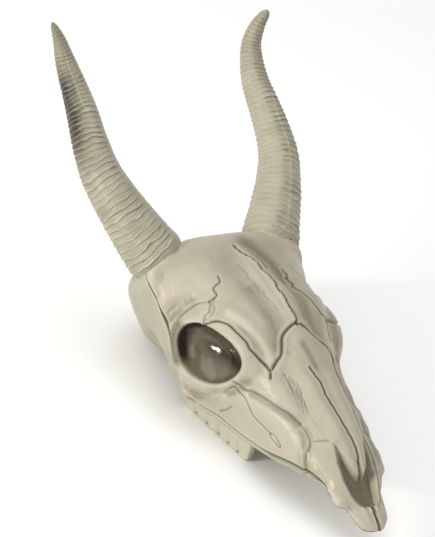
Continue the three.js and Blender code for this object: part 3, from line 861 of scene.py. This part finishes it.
# eye bowl: brown gloss, with a painted reflection as a dark band across its middle and round its front,
# painted shade at its top, and a near black crescent of painted shade sunk at its back, outside a disc set
# forwards;
# lengths in rim radii
eyeBowl = {
    "edge": (0.93, 1.01),
    "discOffset": (0.13, 0),
    "discRadius": 0.92,
    "crescent": {"depth": 1.6, "dark": 0.93, "edge": (0.84, 1.06), "around": (-1.2, -0.6, 0.8, 1.3)},
    "reflectedBand": {"dark": 0.92, "place": 0.1, "width": 0.36, "along": (0.8, 0)},
    "top": {"dark": 0.5, "up": (0, 0.5)},
    "front": {"dark": 0.7, "radius": (0.7, 0.98), "along": (0.2, -0.5)},
}


def paintBowl(along, up, radius, inBowl, paint):  # gives the relief of the crescent
    look = eyeBowl["crescent"]
    shift = eyeBowl["discOffset"]
    offDisc = np.hypot(along + shift[0], up + shift[1]) / eyeBowl["discRadius"]
    behind = plateau(np.arctan2(up, along), look["around"])
    crescent = smoothStep(*look["edge"], offDisc) * behind * inBowl
    paint["bowl"] = paint["gloss"] = inBowl
    paint["bowlShadeAndReflection"] = look["dark"] * crescent
    # painted reflection across the middle and round the front, painted shade at the top
    reflectedBand, top, front = eyeBowl["reflectedBand"], eyeBowl["top"], eyeBowl["front"]
    across = reflectedBand["dark"] * bell(up - reflectedBand["place"], reflectedBand["width"]) * smoothStep(*reflectedBand["along"], along)
    ahead = front["dark"] * smoothStep(*front["radius"], radius) * smoothStep(*front["along"], along)
    for dark in (across, top["dark"] * smoothStep(*top["up"], up), ahead):
        deepen(paint, "bowlShadeAndReflection", dark * inBowl)
    return -look["depth"] * crescent


# fine ribs behind each orbit: a wave across the distance from its middle; gives the relief and their share
def ribOrbits(along, up, radius, nearRim, paint):
    ribs = frontShell["ribs"]
    share = plateau(radius, ribs["radius"]) * plateau(np.arctan2(up, along), ribs["around"]) * nearRim
    wave = np.cos(2 * np.pi * radius / ribs["spacing"])
    crest, added = ribs["shade"]
    deepen(paint, "shade", share * (crest + added * smoothStep(*ribs["trough"], wave)))
    return ribs["height"] * wave * share, share


def makeFrontShell(material):
    stations, rails = evenStations(frontShell["rows"]), railColumns(frontShell["columns"])
    points = skullGrid(stations, rails)
    normals = gridNormals(points)
    paintNames = ("shade", "wearAndHighlight", "wash", "sutureWash", "bowl", "bowlShadeAndReflection", "gloss")
    paint = blankPaint(paintNames, points.shape[:2])
    sutures = frontShell["sutures"] + scratchSutures()
    relief = drawLines(points, normals, frontShell["forms"], sutures, paint)
    along, up, height = orbitPlace(points)
    radius = np.hypot(along, up)
    nearRim = height > -orbit["reach"]
    ribHeight, ribShare = ribOrbits(along, up, radius, nearRim, paint)
    inBowl = (1 - smoothStep(*eyeBowl["edge"], radius)) * nearRim
    relief = (relief + ribHeight) * (1 - inBowl) + paintBowl(along, up, radius, inBowl, paint)
    # a painted highlight along the lower back of each orbit's rim
    rim = frontShell["rimHighlight"]
    rimHighlight = bell(radius - rim["radius"], rim["width"]) * nearRim
    deepen(paint, "wearAndHighlight", rimHighlight * smoothStep(*rim["up"], up) * smoothStep(*rim["along"], along))
    relief += unevenness(points, frontShell["ripples"])
    shaped = points + normals * relief[..., None]
    # painted shade in the hollows and painted highlight on the raised parts, by how far the skin lies below
    # or above the skin round it
    hollows = frontShell["hollows"]
    hollow = hollowDepth(shaped, normals, hollows["passes"]) * (1 - inBowl)
    deepen(paint, "shade", hollows["shade"] * smoothStep(*hollows["depth"], hollow))
    deepen(paint, "wearAndHighlight", hollows["wearAndHighlight"] * smoothStep(*hollows["depth"], -hollow))
    shaped, noseFloor, noseWall, noseEdgeShade = openNose(shaped)
    # painted shade along the opening's outer edge and over its floor and wall
    deepen(paint, "wash", nose["edgeShadeLine"]["wash"] * noseEdgeShade)
    deepen(paint, "shade", np.maximum(nose["floorShade"]["amount"] * noseFloor, noseWall))
    paint["sutureWash"] = paint["sutureWash"] * (1 - np.maximum(noseFloor, inBowl))
    paint["wearAndHighlight"] = paint["wearAndHighlight"] * (1 - inBowl) * (1 - noseFloor)
    seam = frontShell["seam"]
    fromEdge = edgeDistance(points, normals, seam["reach"])
    besideTeeth = plateau(stations, skull["besideTeeth"])[:, None]
    paintSeam(fromEdge, seam["weakerBy"] * besideTeeth, seam, paint)
    paint["wearAndHighlight"] = paint["wearAndHighlight"] * (1 - frontShell["ribs"]["wearAndHighlightCut"] * ribShare)
    skin = shellSkin(seatHorns(shaped), normals, fromEdge, frontShell["turn"], paint)
    return makePiece("frontShell", [skin], material, "skull_front")


bonePaint = plasticMaterial("bonePaint", {
    "tone": (0.415, 0.373, 0.286),
    "secondTone": (0.355, 0.317, 0.24),
    "washes": [  # attribute, colour and how far speckle breaks it up
        ("shade", (0.128, 0.11, 0.073), 0.9),
        # light paint: rubbed wear on edges, and painted highlights on ridges, lips, rims and small chips
        ("wearAndHighlight", (0.53, 0.485, 0.395), 1),
        ("wash", (0.042, 0.032, 0.02), 0.6),
        ("sutureWash", (0.052, 0.04, 0.025), 0.5),
        ("bowl", (0.16, 0.133, 0.088), 0.1),
        # painted shade and painted reflection in the eye bowl
        ("bowlShadeAndReflection", (0.012, 0.009, 0.006), 0.2),
    ],
    "waver": 0.9,
    "roughness": (0.42, 0.52),
    "glossRoughness": 0.1,
    "specular": 0.5,
    "specularTint": (1, 0.93, 0.8),
    "coat": 0.06,
    "coatRoughness": 0.2,
    "cloudScale": 28,
    "speckleScale": 420,
    "bump": 0.25,
})
makeFrontShell(bonePaint)


backShell = {
    "rows": 330,
    "columnsPerRail": 44,
    "drop": 0.3,  # clearance below the front shell
    "floor": -94,
    "turn": {"depth": 0.6, "reach": 0.7, "columns": 7},
    "seam": {"reach": 12, "width": 0.5, "weakerBy": 0.75, "light": 0.4, "lightPlace": 1.8, "lightWidth": 0.8},
    "lip": {"height": 3.6, "reach": 4, "along": (2.9, 3.5, 4.4, 5.2)},  # proud of the front shell
    "condyle": {"centre": (14, 51, -64), "size": (11, 14, 16)},
    "spinalOpening": {"centre": (0, 67, -54), "size": (10, 10, 11), "shade": 0.8, "shadeDepth": (0.5, 6)},
    "ripples": [(0.15, 14, 3), (0.07, 5, 4)],
    "sutures": [
        suture(1, 0.9, 0.3, nearSide, (2.4, 5), (3.5, 5), (5, 5), (6.2, 5)),
        suture(0.9, 0.7, 0.25, bothSides, (5.6, 5), (5.55, 4.7), (5.7, 4.35), (6.1, 4.12)),
        suture(1, 0.7, 0.25, bothSides, (8.6, 4.5), (9, 4.55), (9.4, 4.7), (9.5, 5)),
        suture(1.2, 0.8, 0.3, bothSides, (10.45, 5), (10.4, 4.5), (10.2, 4), (9.9, 3.5)),
    ],
    "forms": [
        form(9, -1.6, bothSides, (4.2, 4.75), (5.2, 4.75), (6.2, 4.75), shade=0.15),
        form(8, -3.2, bothSides, (6.5, 4.8), (6.9, 4.82), (7.3, 4.85), shade=0.35),
        form(8, 2.4, bothSides, (8, 4.5), (8.5, 4.45), (9, 4.4), wearAndHighlight=0.1),
        form(9, -7, bothSides, (7.5, 3.3), (7.8, 3.35), (8.1, 3.5), (8.4, 3.7), shade=0.15),
        form(6.5, 3.4, bothSides, (7.65, 3.04), (7.45, 3.05), (7.25, 3.05), (7.08, 3.03)),
        *acrossSeam,
        form(5, 1.6, bothSides, (10.5, 4.9), (10.42, 4.3), (10.25, 3.7), wearAndHighlight=0.1),
    ],
}


# how far points have to go along their normals to leave an ellipsoid; 0 for those that miss it
def ellipsoidExit(points, directions, centre, size):
    offset, step = (points - centre) / size, directions / np.asarray(size)
    a, b = (step ** 2).sum(-1), (offset * step).sum(-1)
    inside = b ** 2 - a * ((offset ** 2).sum(-1) - 1)
    return np.where(inside > 0, np.maximum((np.sqrt(np.maximum(inside, 0)) - b) / a, 0), 0)


def makeBackShellSkin():
    stations = evenStations(backShell["rows"])
    firstRail, around = skull["seamRail"], skull["railsAround"]
    cells = (around - 2 * firstRail) * backShell["columnsPerRail"]
    points = skullGrid(stations, np.linspace(firstRail, around - firstRail, cells + 1))
    points[..., 2] -= backShell["drop"]
    normals = gridNormals(points)
    paint = blankPaint(("shade", "wearAndHighlight", "wash", "sutureWash"), points.shape[:2])
    relief = drawLines(points, normals, backShell["forms"], backShell["sutures"], paint)
    seam, lip = backShell["seam"], backShell["lip"]
    fromEdge = edgeDistance(points, normals, seam["reach"])
    atLip = plateau(stations, lip["along"])[:, None]
    relief += lip["height"] * atLip * bell(fromEdge, lip["reach"])
    relief += unevenness(points, backShell["ripples"])
    shaped = points + normals * relief[..., None]
    condyle, opening = backShell["condyle"], backShell["spinalOpening"]
    bulges = [
        ellipsoidExit(shaped, normals, np.array(condyle["centre"]) * (side, 1, 1), condyle["size"])
        for side in bothSides
    ]
    outside = (((shaped - opening["centre"]) / opening["size"]) ** 2).sum(-1) > 1
    dent = ellipsoidExit(shaped, -normals, np.array(opening["centre"]), opening["size"])
    dent = np.where(outside, 0, dent)
    shaped = shaped + normals * (np.maximum(*bulges) - dent)[..., None]
    deepen(paint, "shade", opening["shade"] * smoothStep(*opening["shadeDepth"], dent))
    besideTeeth = plateau(stations, skull["besideTeeth"])[:, None]
    paintSeam(fromEdge, np.maximum(atLip, seam["weakerBy"] * besideTeeth), seam, paint)
    shaped = seatHorns(shaped)
    shaped[..., 2] = np.maximum(shaped[..., 2], backShell["floor"])
    return shellSkin(shaped, normals, fromEdge, backShell["turn"], paint, backShell["drop"])


toothRow = {
    "backY": -56,
    "backX": 41,
    "frontX": 34.5,
    "rootZ": -67,
    "tipZ": -94,
    "lengths": [14.8, 14.8, 14.8, 12.4, 12.4, 12.4],  # from the back: three molars and three premolars
    "halfWidths": [7.5, 7.5, 7.3, 6.2, 5.6, 5.3],
    "endGap": 0.2,
    "between": (0.45, 1),  # in half teeth from the middle of a tooth
    "amid": (0, 0.38),
    "square": 0.6,  # power that squares off the section
    "cuspNotch": 0.7,
    "toothNotch": 2.8,
    "cuspFlute": 0.05,  # share of the width by which the sides draw in
    "toothFlute": 0.14,
    "tipWidth": 0.62,
    "ripples": [(0.12, 5, 6)],
    # painted shade between the teeth and between the cusps; light paint over the whole row, more at the tips:
    # painted light and wear
    "shade": {"between": 0.22, "amid": 0.08, "level": (1, 0.3)},
    "wearAndHighlight": {"all": 0.55, "tips": 0.3, "level": (0.35, 0)},
    "rows": 330,
    "columns": 56,
}


def squared(wave):
    return np.sign(wave) * np.abs(wave) ** toothRow["square"]


# a row of cheek teeth: a squared ring carried forward along the jaw; its lower edge dips between the cusps
# and between the teeth, and its sides draw in there as flutes
def makeToothSkin():
    lengths = np.array(toothRow["lengths"])
    ends = np.concatenate([[0], np.cumsum(lengths)])
    run = np.linspace(toothRow["endGap"], ends[-1] - toothRow["endGap"], toothRow["rows"])[:, None]
    tooth = np.clip(np.searchsorted(ends, run, side="right") - 1, 0, len(lengths) - 1)
    place = np.abs(2 * (run - ends[tooth]) / lengths[tooth] - 1)  # 0 amid a tooth, 1 between two
    between = smoothStep(*toothRow["between"], place)
    amid = 1 - smoothStep(*toothRow["amid"], place)
    angle = np.linspace(0, 2 * np.pi, toothRow["columns"], endpoint=False)[None]
    across = squared(np.cos(angle))
    level = (squared(np.sin(angle)) + 1) / 2  # 0 at the tips, 1 at the root
    half = np.interp(run, (ends[1:] + ends[:-1]) / 2, toothRow["halfWidths"])
    half = half * (1 - toothRow["cuspFlute"] * amid - toothRow["toothFlute"] * between)
    half = half * (toothRow["tipWidth"] + (1 - toothRow["tipWidth"]) * level)
    bottom = toothRow["tipZ"] + toothRow["cuspNotch"] * amid + toothRow["toothNotch"] * between
    x = toothRow["backX"] + (toothRow["frontX"] - toothRow["backX"]) * run / ends[-1] + half * across
    y = np.broadcast_to(toothRow["backY"] - run, x.shape)
    z = bottom + (toothRow["rootZ"] - bottom) * level
    rings = np.stack([x, y, z], -1)
    rings = rings + unevenness(rings, toothRow["ripples"])[..., None] * (1, 1, 0)
    shade, wearAndHighlight = toothRow["shade"], toothRow["wearAndHighlight"]
    # painted shade in the grooves, and painted light over the row
    groove = np.maximum(shade["between"] * between, shade["amid"] * amid)
    paint = blankPaint(("wash", "sutureWash"), x.shape)
    paint["shade"] = groove * smoothStep(*shade["level"], level)
    paint["wearAndHighlight"] = wearAndHighlight["all"] + wearAndHighlight["tips"] * smoothStep(*wearAndHighlight["level"], level) * (1 - between)
    return closedSkin(rings, rings[0].mean(0), rings[-1].mean(0), paint)


bareMoulding = plasticMaterial("bareMoulding", {
    "tone": (0.345, 0.326, 0.237),
    "secondTone": (0.31, 0.293, 0.21),
    "washes": [
        ("shade", (0.2, 0.177, 0.108), 0.8),
        # light paint: rubbed wear, and painted light over the teeth and beside the seam
        ("wearAndHighlight", (0.55, 0.52, 0.41), 0.8),
        ("wash", (0.045, 0.037, 0.025), 0.5),
        ("sutureWash", (0.045, 0.037, 0.025), 0.5),
    ],
    "waver": 0.9,
    "roughness": (0.36, 0.46),
    "specular": 0.5,
    "specularTint": (1, 0.93, 0.8),
    "coat": 0.08,
    "coatRoughness": 0.3,
    "cloudScale": 22,
    "speckleScale": 380,
    "bump": 0.25,
})
toothSkin = makeToothSkin()
makePiece("backShell", [makeBackShellSkin(), toothSkin, mirroredSkin(toothSkin)], bareMoulding,
          "skull_back")

# centre line and radius of the left horn, from inside its socket to the tip; lengths in mm, angles in degrees
horn = {
    "centre": [
        (49, 1, -2), (56, 9.5, 6), (60, 15, 11), (66, 23.5, 18), (76.7, 39, 32), (86, 55, 45.7),
        (93, 72, 60), (94.4, 94, 76.6), (93.3, 111, 89), (93.3, 129.5, 101.7), (97, 149, 120.6),
        (103, 156, 137), (112, 158.7, 151.6),
    ],
    "radius": [16, 21.5, 24.7, 23.6, 21.2, 19, 17, 14.8, 13.3, 11.5],  # and then those of the tip
    "fineSteps": 1500,
    "tipRound": 5,
    "tipLeast": 0.02,
    "tipPole": 0.4,
    "frontSide": np.array((0.7, -0.7, 0.1)),  # angles round the horn run from here, positive outwards
    "ringStart": 16,
    "ringEnd": 236,
    "ringFade": (-0.01, 0.03, 0.965, 1),  # as shares of the ringed length
    "basePitch": 6.6,
    "tipPitch": 3.6,
    "sway": [(0.16, 1, 0.7, 0), (0.12, 2, 0, 19)],  # size, waves round the horn, start and turn along it
    "swayRipples": [(0.12, 16, 11), (0.07, 6, 12)],
    "baseRelief": 1.5,
    "tipRelief": 1,
    "stepHeight": 0.45,
    "ledge": 0.1,  # in ring pitches
    "recess": (0.3, 0.9, 0.92, 1),  # in ring pitches, the part below each ledge
    "strength": {"mean": 0.8, "uneven": 0.25, "rate": 7.3, "ripples": [(0.25, 13, 13)], "most": 1.2},
    "smoothSide": {  # faces in and forwards
        "middle": -126, "reach": (36, 56), "rings": (0.16, 0.5), "along": (0.4, 0.8), "wearAndHighlight": 0.3,
        "wave": (0.6, 0.4),
    },
    "parting": {
        "course": (-56, -31), "along": (135, 165), "width": 0.06, "height": 0.4, "wearAndHighlight": 0.3,
        "setsIn": 15, "ends": (205, 226),
    },
    "burr": {
        "middle": -65, "reach": (30, 65), "along": (22, 46), "ripples": [(1, 3.4, 9)], "shade": 0.6,
        "shadeDepth": (0.1, 0.45),
    },
    "skin": [(0.12, 3.2, 8)],
    "tip": {
        "along": (0.88, 1), "striations": 17, "sway": [(2, 30, 14)], "height": 0.1, "shade": 0.2,
        "crest": (0.2, 1),
    },
    # mottled tone, darker towards the tip, with painted shade added on the ringed side and towards its
    # outside
    "mottleAndShade": {
        "mean": 0.07, "ripples": [(0.1, 18, 16)], "ringedSide": 0.1, "tip": 0.32, "tipAlong": (0.6, 0.9),
        "outside": 0.1, "outsideAlong": (0.5, 0.75), "outsideAround": (-70, -30),
    },
    # painted shade in the recess under each ledge, and light paint along each ledge: wear and painted
    # highlight
    "recessShade": {"base": 0.52, "added": 0.43, "along": (0.3, 0.6)},
    "ledgeWearAndHighlight": {"amount": 0.85, "mean": 0.75, "ripples": [(0.4, 8, 17)]},
    "spray": {  # along and around: starts, full, still full, gone
        "along": (84, 152, 174, 212), "around": (-52, 32, 110, 150), "amount": 1.15, "most": 0.97,
        "ripples": [(0.1, 9, 15)], "offLedges": 0.4, "covers": 0.7,
    },
    "rows": 640,
    "columns": 144,
}


def angleFrom(degrees, middle):  # degrees round the horn, the short way
    return np.abs((degrees - middle + 180) % 360 - 180)


# a horn without its rings: circles round its centre line, kept in step by the front side, with a round tip
def smoothHorn(angle, tipRadii):
    fine = np.linspace(0, len(horn["centre"]) - 1, horn["fineSteps"])
    line = splineThrough(horn["centre"], fine)
    run = lengthAlong(line)
    distance = np.linspace(0, run[-1], horn["rows"])[:, None]
    places = np.interp(distance[:, 0], run, fine)
    middle = splineThrough(horn["centre"], places)
    tangent = unit(np.gradient(middle, axis=0))
    first = unit(horn["frontSide"] - (tangent @ horn["frontSide"])[:, None] * tangent)
    second = np.cross(tangent, first)
    outward = first[:, None] * np.cos(angle)[:, None] + second[:, None] * np.sin(angle)[:, None]
    taper = splineThrough(np.array(horn["radius"] + tipRadii)[:, None], places)
    fromTip = np.minimum(run[-1] - distance, horn["tipRound"]) / horn["tipRound"]
    taper = taper * np.sqrt(np.clip(1 - (1 - fromTip) ** 2, horn["tipLeast"], 1))
    poles = line[0], line[-1] + tangent[-1] * horn["tipPole"]
    return distance, outward, middle[:, None] + outward * taper[..., None], poles


# rings are steps of a phase that quickens towards the tip and wanders round the horn, so that they wave and
# crowd; each has a thin ledge and a recess below it
def hornPhase(smooth, angle, share):
    span = horn["ringEnd"] - horn["ringStart"]
    firstRate, lastRate = span / horn["basePitch"], span / horn["tipPitch"]
    phase = firstRate * share + (lastRate - firstRate) / 2 * share ** 2
    for size, waves, start, turn in horn["sway"]:
        phase = phase + size * np.sin(waves * angle + start + turn * share)
    return phase + unevenness(smooth, horn["swayRipples"])


# rings fade on the smooth side and at both ends, and their strength is uneven from ring to ring
def ringStrength(smooth, share, phase, ringedSide):
    look = horn["strength"]
    low, high = horn["smoothSide"]["rings"]
    kept = low + (high - low) * smoothStep(*horn["smoothSide"]["along"], share)
    strength = (kept + (1 - kept) * ringedSide) * plateau(share, horn["ringFade"])
    uneven = look["mean"] + look["uneven"] * np.sin(look["rate"] * np.floor(phase))
    return np.clip(strength * (uneven + unevenness(smooth, look["ripples"])), 0, look["most"])


def makeHornSkin(partingStart, burrHeight, tipRadii):
    angle = np.linspace(-np.pi, np.pi, horn["columns"], endpoint=False)
    degrees = np.degrees(angle)
    distance, outward, smooth, poles = smoothHorn(angle, tipRadii)
    share = np.clip((distance - horn["ringStart"]) / (horn["ringEnd"] - horn["ringStart"]), 0, 1)
    side = horn["smoothSide"]
    ringedSide = smoothStep(*side["reach"], angleFrom(degrees, side["middle"]))
    phase = hornPhase(smooth, angle, share)
    strength = ringStrength(smooth, share, phase, ringedSide)
    step = phase % 1
    ledge = bell(np.minimum(step, 1 - step), horn["ledge"])
    recess = plateau(step, horn["recess"])
    relief = horn["baseRelief"] + (horn["tipRelief"] - horn["baseRelief"]) * share
    height = relief * strength * horn["stepHeight"] * (ledge - recess)

    parting, burr, tip = horn["parting"], horn["burr"], horn["tip"]
    low, high = parting["course"]
    course = np.radians(low + (high - low) * smoothStep(*parting["along"], distance))
    partingEnds = (partingStart, partingStart + parting["setsIn"], *parting["ends"])
    partingLine = bell(angle - course, parting["width"]) * plateau(distance, partingEnds)
    burrShare = 1 - smoothStep(*burr["reach"], angleFrom(degrees, burr["middle"]))
    burrShare = burrShare * (1 - smoothStep(*burr["along"], distance))
    grainy = burrHeight * unevenness(smooth, burr["ripples"]) * burrShare
    atTip = smoothStep(*tip["along"], share)
    striation = np.cos(tip["striations"] * angle + unevenness(smooth, tip["sway"]))
    height = height + parting["height"] * partingLine + tip["height"] * atTip * striation
    height = height + unevenness(smooth, horn["skin"]) + grainy
    rings = smooth + outward * height[..., None]

    look = horn["mottleAndShade"]
    outside = smoothStep(*look["outsideAlong"], share) * smoothStep(*look["outsideAround"], degrees)
    mottleAndShade = look["mean"] + unevenness(smooth, look["ripples"])
    mottleAndShade = mottleAndShade + look["tip"] * smoothStep(*look["tipAlong"], share)
    mottleAndShade = mottleAndShade + ringedSide * (look["ringedSide"] + look["outside"] * outside)
    look = horn["recessShade"]
    shade = (look["base"] + look["added"] * smoothStep(*look["along"], share)) * recess * strength
    shade = np.maximum(shade, mottleAndShade) + tip["shade"] * atTip * smoothStep(*tip["crest"], striation)
    shade = np.maximum(shade, burr["shade"] * smoothStep(*burr["shadeDepth"], -grainy))
    look = horn["ledgeWearAndHighlight"]
    wearAndHighlight = look["amount"] * ledge * strength * (look["mean"] + unevenness(smooth, look["ripples"]))
    level, wave = side["wave"]
    waved = level + wave * np.cos(2 * np.pi * phase)
    wearAndHighlight = np.maximum(wearAndHighlight + parting["wearAndHighlight"] * partingLine, side["wearAndHighlight"] * (1 - ringedSide) * waved)
    look = horn["spray"]
    sprayed = plateau(distance, look["along"]) * plateau(degrees, look["around"])
    spray = look["amount"] * sprayed * (1 + unevenness(smooth, look["ripples"]))
    spray = spray * (1 - look["offLedges"] * ledge)
    paint = {
        "shade": np.clip(shade, 0, 1),
        "spray": np.clip(spray, 0, look["most"]),
        "wearAndHighlight": np.clip(wearAndHighlight * (1 - look["covers"] * sprayed), 0, 1),
    }
    return closedSkin(rings, *poles, paint)


hornPaint = plasticMaterial("hornPaint", {
    "tone": (0.37, 0.343, 0.258),
    "secondTone": (0.315, 0.292, 0.215),
    "washes": [
        ("shade", (0.13, 0.118, 0.075), 0.9),
        ("spray", (0.022, 0.019, 0.012), 0.4),
        # light paint: rubbed wear and painted highlight on the ring ledges, the parting line and the smooth
        # side
        ("wearAndHighlight", (0.5, 0.47, 0.37), 1.2),
    ],
    "roughness": (0.4, 0.5),
    "specular": 0.5,
    "specularTint": (1, 0.93, 0.8),
    "coat": 0.06,
    "coatRoughness": 0.3,
    "cloudScale": 40,
    "speckleScale": 500,
    "bump": 0.3,
})
leftSkin = makeHornSkin(partingStart=20, burrHeight=0.32, tipRadii=[9, 6.8, 3.4])
rightSkin = mirroredSkin(makeHornSkin(partingStart=145, burrHeight=0.08, tipRadii=[8.3, 5.2, 1.8]))
makePiece("hornLeft", [leftSkin], hornPaint, "horn_left")
makePiece("hornRight", [rightSkin], hornPaint, "horn_right")

# the photograph's view, measured from the datum in mm: a long lens, looking down at the right front, rolled
view = {
    "imageHeight": 537,
    "lensPixels": 2400,
    "distance": 2000,
    "target": np.array((-2.327, 0, 0)),
    "azimuth": math.radians(-43.11),
    "elevation": math.radians(29.92),
    "roll": math.radians(-17.27),
}


def placeCamera():
    azimuth, elevation, roll = view["azimuth"], view["elevation"], view["roll"]
    back = np.array((
        math.sin(azimuth) * math.cos(elevation),
        -math.cos(azimuth) * math.cos(elevation),
        math.sin(elevation),
    ))
    level = np.array((math.cos(azimuth), math.sin(azimuth), 0))
    upright = np.cross(back, level)
    right = math.cos(roll) * level - math.sin(roll) * upright
    top = math.cos(roll) * upright + math.sin(roll) * level
    place = (view["target"] + skull["datum"] + view["distance"] * back) / mmPerMetre
    data = bpy.data.cameras.new("photoView")
    data.sensor_width = 36
    data.lens = view["lensPixels"] / view["imageHeight"] * data.sensor_width
    camera = bpy.data.objects.new("photoView", data)
    matrix = np.eye(4)
    matrix[:3] = np.stack([right, top, back, place], 1)
    camera.matrix_world = Matrix(matrix.tolist())
    bpy.context.scene.collection.objects.link(camera)
    bpy.context.scene.camera = camera


placeCamera()

studio = {
    "floorHalf": 6,
    "floorColour": (0.96, 0.96, 0.95),
    "floorRoughness": 0.9,
    "skyColour": (1, 1, 1),
    "skyStrength": 0.74,
    "middle": np.array((0, 0, 0.1)),
    "lights": [  # direction from the middle, distance in metres, then size, power and tint
        {"name": "key", "towards": (-0.96, -0.02, 0.26), "distance": 2, "size": (0.42, 0.05), "power": 22,
         "colour": (1, 0.99, 0.96), "roll": 0.55},
        {"name": "overhead", "towards": (-0.2, 0.1, 1), "distance": 2.2, "size": (2, 2), "power": 17,
         "colour": (1, 1, 1), "roll": 0},
    ],
}


def addLight(light):
    data = bpy.data.lights.new(light["name"], "AREA")
    data.shape = "RECTANGLE"
    data.size, data.size_y = light["size"]
    data.energy = light["power"]
    data.color = light["colour"]
    lamp = bpy.data.objects.new(light["name"], data)
    aim = unit(light["towards"])
    level = unit(np.cross((0, 0, 1), aim))
    side = math.cos(light["roll"]) * level + math.sin(light["roll"]) * np.cross(aim, level)
    matrix = np.eye(4)
    matrix[:3] = np.stack([side, np.cross(aim, side), aim, studio["middle"] + light["distance"] * aim], 1)
    lamp.matrix_world = Matrix(matrix.tolist())
    bpy.context.scene.collection.objects.link(lamp)


def makeStudio():
    half = studio["floorHalf"]
    mesh = bpy.data.meshes.new("floor")
    corners = [(-half, -half, 0), (half, -half, 0), (half, half, 0), (-half, half, 0)]
    mesh.from_pydata(corners, [], [(0, 1, 2, 3)])
    floor = bpy.data.objects.new("floor", mesh)
    bpy.context.scene.collection.objects.link(floor)
    pale = bpy.data.materials.new("paleFloor")
    pale.use_nodes = True
    shader = pale.node_tree.nodes["Principled BSDF"]
    shader.inputs["Base Color"].default_value = (*studio["floorColour"], 1)
    shader.inputs["Roughness"].default_value = studio["floorRoughness"]
    mesh.materials.append(pale)
    world = bpy.data.worlds.new("softSky")
    world.use_nodes = True
    sky = world.node_tree.nodes["Background"]
    sky.inputs["Color"].default_value = (*studio["skyColour"], 1)
    sky.inputs["Strength"].default_value = studio["skyStrength"]
    bpy.context.scene.world = world
    for light in studio["lights"]:
        addLight(light)


makeStudio()
bpy.context.scene.view_settings.view_transform = "Standard"
print("studio and camera placed")
